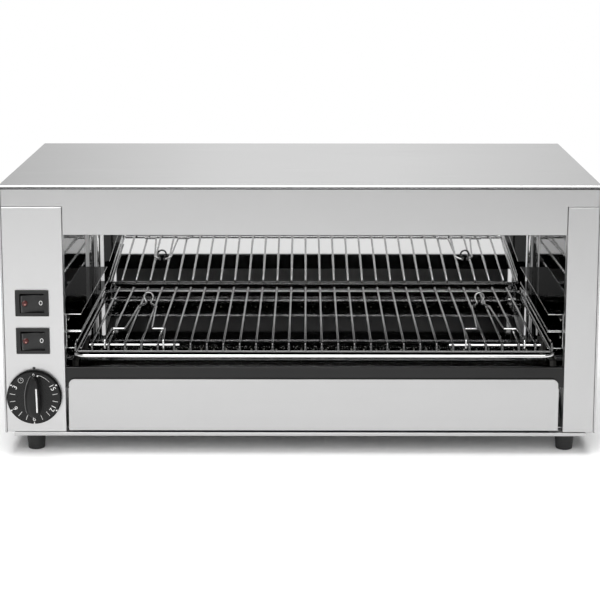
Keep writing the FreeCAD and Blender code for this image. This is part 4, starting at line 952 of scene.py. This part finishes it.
def make_rocker(level):
    matrix = rocker_matrix(level)
    body = level + "_rocker"
    top, bottom = ROCKER_TOP, -ROCKER_BOTTOM
    edge = ROCKER_EDGE
    rings = []
    for inset, z in ((edge, bottom), (edge * 0.3, bottom + edge * 0.3), (0, bottom + edge), (0, 0),
                     (0, top - edge), (edge * 0.3, top - edge * 0.3), (edge, top)):
        rings.append([Vector((x, y, z)) for x, y in rocker_outline(inset)])
    piece = loft(level + "_rocker_cap", body, rings, BLACK_GRAINED, matrix)
    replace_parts(piece, level + "_switch_rocker")

    # A band on the rocker's left skirt in lighter plastic: painted light that lifts the shade in the slot
    # beside the frame
    nose = math.atan2(ROCKER_END_RISE, ROCKER_HALF_WIDTH)
    ring = []
    for radius, order in ((ROCKER_SKIRT + 0.05 * MM, 1), (ROCKER_SKIRT - 0.5 * MM, -1)):
        arc = [nose * (1 - 1.3 * step / 8) for step in range(9)][::order]
        ring += [(-radius * math.cos(angle), -radius * math.sin(angle)) for angle in arc]
    skirt = [[Vector((x, y, z)) for x, y in ring] for z in (bottom + edge, top - edge)]
    loft(level + "_rocker_skirt_painted_light", body, skirt, SKIRT_LIGHTENED_PLASTIC, matrix)

    slope = math.atan2(2 * ROCKER_DISH * LAMP_OFFSET, ROCKER_HALF_WIDTH ** 2)
    out = Vector((math.sin(slope), -math.cos(slope), 0))
    place = Vector((-LAMP_OFFSET, -rocker_face(LAMP_OFFSET), 0))
    place_in_frame = matrix @ place
    out_in_frame = matrix.to_3x3() @ out
    r = LAMP_RADIUS
    rim_profile = [(r * 1.22, -0.3 * MM), (r * 1.2, 0.12 * MM), (r * 1.08, 0.18 * MM), (r, 0.1 * MM),
                   (r, -0.3 * MM)]
    turned(level + "_lamp_rim", body, rim_profile, place_in_frame, out_in_frame, BLACK_PLASTIC, 32)
    dome = LAMP_DOME
    lens_profile = [(r * 0.98, -dome), (r * 0.98, dome * 0.1), (r * 0.9, dome * 0.4), (r * 0.7, dome * 0.72),
                    (r * 0.4, dome * 0.92), (r * 0.05, dome)]
    piece = turned(level + "_lamp_lens", body, lens_profile, place_in_frame, out_in_frame, RED_LENS, 32)
    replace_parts(piece, level + "_switch_lamp")
    # A pale red bead on the lens's surface paints a glint on the unlit lamp
    glint_place = place_in_frame + out_in_frame * dome * 0.75 - ALONG_Z * r * 0.35
    glint_profile = [(r * 0.26, 0), (r * 0.24, r * 0.12), (r * 0.12, r * 0.18), (r * 0.02, r * 0.2)]
    turned(level + "_lamp_painted_glint", body, glint_profile, glint_place, out_in_frame, LAMP_GLINT_PAINT, 16)

    slope = -math.atan2(2 * ROCKER_DISH * MARK_OFFSET, ROCKER_HALF_WIDTH ** 2)
    along = Vector((math.cos(slope), math.sin(slope), 0))
    out = Vector((math.sin(slope), -math.cos(slope), 0))
    centre = Vector((MARK_OFFSET, -rocker_face(MARK_OFFSET), 0)) + out * PRINT_RISE
    path = [matrix @ (centre + along * MARK_HALF_WIDTH * x + ALONG_Z * MARK_HALF_HEIGHT * z)
            for x, z in circle(1, 40)]
    wire_object(level + "_off_mark", body, [path], MARK_LINE * 2, WHITE_PRINT, closed=True, sides=2)


# Timer dial

DIAL = middle("timer_knob")
DIAL_RADIUS = (high("timer_knob").x - low("timer_knob").x) / 2
DIAL_FACE = FRONT - KNOB_GAP - KNOB_DISC


def on_dial(radius, angle, rise=0.0):
    """A point on the dial's face: the angle counts to the left from the top."""
    return Vector((DIAL.x - radius * math.sin(angle), DIAL_FACE - rise, DIAL.z + radius * math.cos(angle)))


def grip_outline(top, bottom, width, count=48):
    """A shield shape: nearly flat at the bottom and drawn to a soft point at the top."""
    made = []
    for step in range(count):
        angle = 2 * math.pi * step / count
        x = math.sin(angle)
        z = math.cos(angle)
        if z > 0:
            made.append((x * width / 2 * (1 - 0.25 * z ** 2), z * top))
        else:
            made.append((math.copysign(abs(x) ** 0.55, x) * width / 2, -abs(z) ** 0.7 * bottom))
    return made


def make_dial():
    back = FRONT - KNOB_GAP
    r = DIAL_RADIUS
    edge = KNOB_EDGE
    place = Vector((DIAL.x, back, DIAL.z))
    disc = KNOB_DISC
    side = [(r * 0.2, 0), (r - 0.4 * MM, 0), (r, 0.4 * MM), (r, disc - edge),
            (r - edge * 0.3, disc - edge * 0.3), (r - edge, disc - 0.05 * MM), (r * 0.5, disc - edge)]
    turned("dial_side", "timer_dial", side, place, -ALONG_Y, MATT_BLACK, 96)
    face = [(r * 0.6, disc - edge), (r - edge * 0.9, disc - edge * 0.3), (r - edge * 1.1, disc),
            (r * 0.5, disc), (r * 0.02, disc)]
    piece = turned("dial_face", "timer_dial", face, place, -ALONG_Y, KNOB_BLACK, 96)
    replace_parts(piece, "timer_knob")

    shaft_back = Vector((DIAL.x, high("timer_shaft").y, DIAL.z))
    r = (high("timer_shaft").x - low("timer_shaft").x) / 2
    length = shaft_back.y - DIAL_FACE - 2 * edge
    profile = [(r - edge, 0), (r, edge), (r, length - edge), (r - edge, length)]
    shaft = turned("dial_shaft", "timer_dial", profile, shaft_back, -ALONG_Y, STEEL, 32)
    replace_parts(shaft, "timer_shaft")

    rings = []
    for rise, share in GRIP_FLANK:
        width = GRIP_WIDTH + (GRIP_RIDGE_WIDTH - GRIP_WIDTH) * share
        shift = GRIP_RIDGE_SHIFT * min(share, 1.0) - GRIP_OFFSET
        shorter = (GRIP_WIDTH - width) * 0.18
        rings.append([Vector((DIAL.x + shift + x, DIAL_FACE - rise * GRIP_RISE, DIAL.z + z))
                      for x, z in grip_outline(GRIP_TOP - shorter, GRIP_BOTTOM - shorter, width)])
    loft("dial_grip", "timer_dial", rings, GRIP_BLACK)

    # A white stripe along the grip's ridge, in the print material, paints the highlight on the ridge
    ridge_y = DIAL_FACE - GRIP_RISE
    ridge_highlight_x = DIAL.x + GRIP_RIDGE_SHIFT - 0.6 * MM
    path = [Vector((ridge_highlight_x - 0.3 * MM, ridge_y, DIAL.z + RIDGE_HIGHLIGHT_TOP)),
            Vector((ridge_highlight_x, ridge_y, DIAL.z + RIDGE_HIGHLIGHT_MIDDLE)),
            Vector((ridge_highlight_x + 0.2 * MM, ridge_y, DIAL.z - RIDGE_HIGHLIGHT_BOTTOM))]
    wire_object("dial_grip_ridge_painted_highlight", "timer_dial", [path], RIDGE_HIGHLIGHT_WIDTH, WHITE_PRINT, sides=2)
    # A pale bead along the grip's left edge paints its highlight
    flank = [(x, z) for x, z in grip_outline(GRIP_TOP, GRIP_BOTTOM, GRIP_WIDTH)
             if x < -1.5 * MM and z > -GRIP_BOTTOM * 0.9]
    path = [Vector((DIAL.x - GRIP_OFFSET + x, DIAL_FACE - 0.6 * MM, DIAL.z + z)) for x, z in flank]
    path.sort(key=lambda point: point.z)
    wire_object("dial_grip_edge", "timer_dial", [path], GRIP_HIGHLIGHT_LINE, GRIP_HIGHLIGHT_PLASTIC, sides=2)


def flat_print(name, body, shapes, material):
    """Printed marks: each shape is a list of points."""
    points = []
    faces = []
    for shape in shapes:
        faces.append(tuple(range(len(points), len(points) + len(shape))))
        points += shape
    return mesh_object(name, body, points, faces, material)


def make_dial_number(number, angle):
    """One number that stands upright towards the dial's rim."""
    text = bpy.data.curves.new("dial_number_" + number, "FONT")
    text.body = number
    text.size = NUMBER_SIZE
    text.align_x = "CENTER"
    text.align_y = "CENTER"
    text.extrude = PRINT_RISE / 2
    text.offset = -NUMBER_THINNING
    text.materials.append(WHITE_PRINT)
    made = new_object("dial_number_" + number, text)
    radius = NUMBER_RADIUS + (ZERO_OUTWARDS if number == "0" else 0)
    made.matrix_world = (Matrix.Translation(on_dial(radius, angle, PRINT_RISE / 2))
                         @ Matrix.Rotation(-angle, 4, "Y") @ Matrix.Rotation(math.pi / 2, 4, "X")
                         @ Matrix.Scale(ZERO_SCALE if number == "0" else 1.0, 4))
    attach(made, "timer_dial")


def make_dial_print():
    shapes = []
    inner, outer = TICK_INNER, TICK_OUTER
    half = RIM_MARK_WIDTH / 2 / RIM_MARK_OUTER
    for index in range(1, len(DIAL_NUMBERS)):
        angle = DIAL_STEP * index
        shapes.append([on_dial(RIM_MARK_INNER, angle, PRINT_RISE),
                       on_dial(RIM_MARK_OUTER, angle - half, PRINT_RISE),
                       on_dial(RIM_MARK_OUTER, angle + half, PRINT_RISE)])
        if index == len(DIAL_NUMBERS) - 1:
            continue
        for tick in range(1, DIAL_TICKS + 1):
            centre = angle + DIAL_STEP * tick / (DIAL_TICKS + 1)
            corners = [(inner, -1), (outer, -1), (outer, 1), (inner, 1)]
            shapes.append([on_dial(radius, centre + sign * (TICK_WIDTH / 2 / radius), PRINT_RISE)
                           for radius, sign in corners])
    flat_print("dial_marks", "timer_dial", shapes, WHITE_PRINT)
    for index, number in enumerate(DIAL_NUMBERS):
        make_dial_number(number, DIAL_STEP * index)

    arc = []
    for step in range(ARC_STEPS + 1):
        angle = math.radians(ARC_START + ARC_SWEEP * step / ARC_STEPS)
        arc.append(on_dial(ARC_RADIUS - ARC_CLOSING * step / ARC_STEPS, angle, PRINT_RISE))
    wire_object("dial_arc", "timer_dial", [arc], PRINT_LINE, WHITE_PRINT, sides=1)
    dot_profile = [(DOT_RADIUS, 0), (DOT_RADIUS, PRINT_RISE), (0.02 * MM, PRINT_RISE)]
    turned("dial_dot", "timer_dial", dot_profile, on_dial(DOT_FROM_CENTRE, math.radians(ARC_START), 0),
           -ALONG_Y, WHITE_PRINT, 20)
    clock = Vector((DIAL.x - CLOCK_LEFT, DIAL_FACE - PRINT_RISE, DIAL.z + CLOCK_UP))
    ring = [clock + Vector((x, 0, z)) for x, z in circle(CLOCK_RADIUS, 32)]
    wire_object("dial_clock_ring", "timer_dial", [ring], PRINT_LINE, WHITE_PRINT, closed=True, sides=1)
    hand_x, hand_z = CLOCK_SHORT_HAND
    hands = [clock + Vector((0, 0, CLOCK_LONG_HAND)), clock, clock + Vector((hand_x, 0, hand_z))]
    wire_object("dial_clock_hands", "timer_dial", [hands], PRINT_LINE, WHITE_PRINT, sides=1)

    tip = Vector((DIAL.x, FRONT - PRINT_RISE, DIAL.z + DIAL_RADIUS + 0.2 * MM))
    arrow = [tip + INDEX_SIZE * Vector((x, 0, z))
             for x, z in ((0, 0), (0.5, 0.3), (0.5, 1.0), (-0.5, 1.0), (-0.5, 0.3))]
    flat_print("panel_index", "housing", [arrow], BLACK_PRINT)


# Rivets that hold the rack guides to the walls

def make_rivets():
    r = RIVET_RADIUS
    profile = [(r, 0), (r * 0.95, 0.4 * MM), (r * 0.75, 0.8 * MM), (r * 0.4, 1.05 * MM),
               (r * 0.025, 1.15 * MM)]
    for side in (LEFT, RIGHT):
        for level in LEVELS:
            label = side_name(side) + "_" + level
            guide_low, guide_high = low(label + "_guide"), high(label + "_guide")
            face_x = guide_low.x + SHEET if side == LEFT else guide_high.x - SHEET
            centre_z = middle(label + "_guide").z
            for row, y in (("front", guide_low.y + RIVET_INSET), ("rear", guide_high.y - RIVET_INSET)):
                turned(label + "_" + row + "_rivet", "housing", profile, Vector((face_x, y, centre_z)),
                       ALONG_X * -side, STEEL, 24)


# Studio

def make_world():
    """A soft bright surround, darker low down and overhead, and white behind the object."""
    scene = bpy.context.scene
    world = bpy.data.worlds.new("studio")
    scene.world = world
    world.use_nodes = True
    tree = world.node_tree
    background = tree.nodes["Background"]
    background.inputs["Color"].default_value = (1, 1, 1, 1)
    path = tree.nodes.new("ShaderNodeLightPath")
    place = tree.nodes.new("ShaderNodeTexCoord")
    parts = tree.nodes.new("ShaderNodeSeparateXYZ")
    tree.links.new(place.outputs["Generated"], parts.inputs["Vector"])
    climb = spread(tree, parts.outputs["Z"], SURROUND_BELOW, SURROUND_ABOVE, *CLIMB_RANGE)
    depth = spread(tree, parts.outputs["Y"], SURROUND_FRONT_SHARE, 1.0, *DEPTH_RANGE)
    left = spread(tree, parts.outputs["X"], SURROUND_LEFT_SHARE, 1.0, *LEFT_RANGE)
    right = spread(tree, parts.outputs["X"], 1.0, SURROUND_RIGHT_SHARE, *RIGHT_RANGE)
    overhead = spread(tree, parts.outputs["Z"], 1.0, SURROUND_OVERHEAD_SHARE, *OVERHEAD_RANGE)
    product = climb
    for share in (depth, left, right, overhead):
        times = add(tree, "ShaderNodeMath", operation="MULTIPLY")
        tree.links.new(product, times.inputs[0])
        tree.links.new(share, times.inputs[1])
        product = times.outputs["Value"]
    mix = tree.nodes.new("ShaderNodeMix")
    tree.links.new(path.outputs["Is Camera Ray"], mix.inputs["Factor"])
    tree.links.new(product, mix.inputs["A"])
    mix.inputs["B"].default_value = 1.0
    tree.links.new(mix.outputs["Result"], background.inputs["Strength"])


def make_floor():
    """A pale floor that turns plain white where the camera sees it."""
    mesh = bpy.data.meshes.new("floor")
    corners = [(-FLOOR_SIDE, FLOOR_FRONT, 0), (FLOOR_SIDE, FLOOR_FRONT, 0),
               (FLOOR_SIDE, FLOOR_BACK, 0), (-FLOOR_SIDE, FLOOR_BACK, 0)]
    mesh.from_pydata(corners, [], [(0, 1, 2, 3)])
    floor = new_object("floor", mesh)
    made, tree, shader = new_material("floor")
    clouds = object_noise(tree, (2, 2, 2))
    tone = mixed_colour(tree, clouds, grey(0.8), grey(0.82))
    path = tree.nodes.new("ShaderNodeLightPath")
    seen = tree.nodes.new("ShaderNodeMix")
    seen.data_type = "RGBA"
    tree.links.new(path.outputs["Is Camera Ray"], seen.inputs["Factor"])
    tree.links.new(tone, seen.inputs[6])
    seen.inputs[7].default_value = (1, 1, 1, 1)
    tree.links.new(seen.outputs[2], shader.inputs["Base Color"])
    shader.inputs["Roughness"].default_value = 0.8
    shader.inputs["Specular IOR Level"].default_value = 0.0
    mesh.materials.append(made)


def softbox(name, place, aim, width, height, power):
    """A rectangular lamp that faces a point."""
    data = bpy.data.lights.new(name, "AREA")
    data.shape = "RECTANGLE"
    data.size = width
    data.size_y = height
    data.energy = power
    lamp = new_object(name, data)
    lamp.location = place
    lamp.rotation_euler = (Vector(aim) - Vector(place)).to_track_quat("-Z", "Y").to_euler()


def make_camera():
    data = bpy.data.cameras.new("camera")
    data.lens = CAMERA_LENS
    data.sensor_width = SENSOR_WIDTH
    data.shift_y = CAMERA_SHIFT_UP
    data.clip_start = 0.05
    data.clip_end = 30
    made = new_object("camera", data)
    made.location = CAMERA_PLACE
    made.rotation_euler = (math.pi / 2 - CAMERA_PITCH, 0, CAMERA_YAW)
    bpy.context.scene.camera = made


make_rack_frame()
make_rack_grid()
make_cross_wires()
make_handle(LEFT)
make_handle(RIGHT)
make_tubes()
make_coils()
make_coil_beads()
make_guard_rods()
make_back_wall()
make_guide_edges()
make_cover_shadow_gap()
make_front_rail()
feet = list(make_feet())
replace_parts(feet[0], "rubber_feet")
for level in ("upper", "lower"):
    make_bezel(level)
    make_rocker(level)
make_dial()
make_dial_print()
make_rivets()

make_world()
make_floor()
softbox("front_light", place=(-0.3, -2.4, 1.6), aim=(0, -0.15, 0.15), width=1.8, height=1.2, power=30)
softbox("top_light", place=(0, -0.3, 2.4), aim=(0, 0, 0.1), width=2.2, height=2.2, power=68)
softbox("floor_light", place=(-0.5, -1.15, 1.1), aim=(-0.5, -1.15, 0), width=1.3, height=0.8, power=6)
make_camera()
bpy.context.scene.view_settings.view_transform = "Standard"
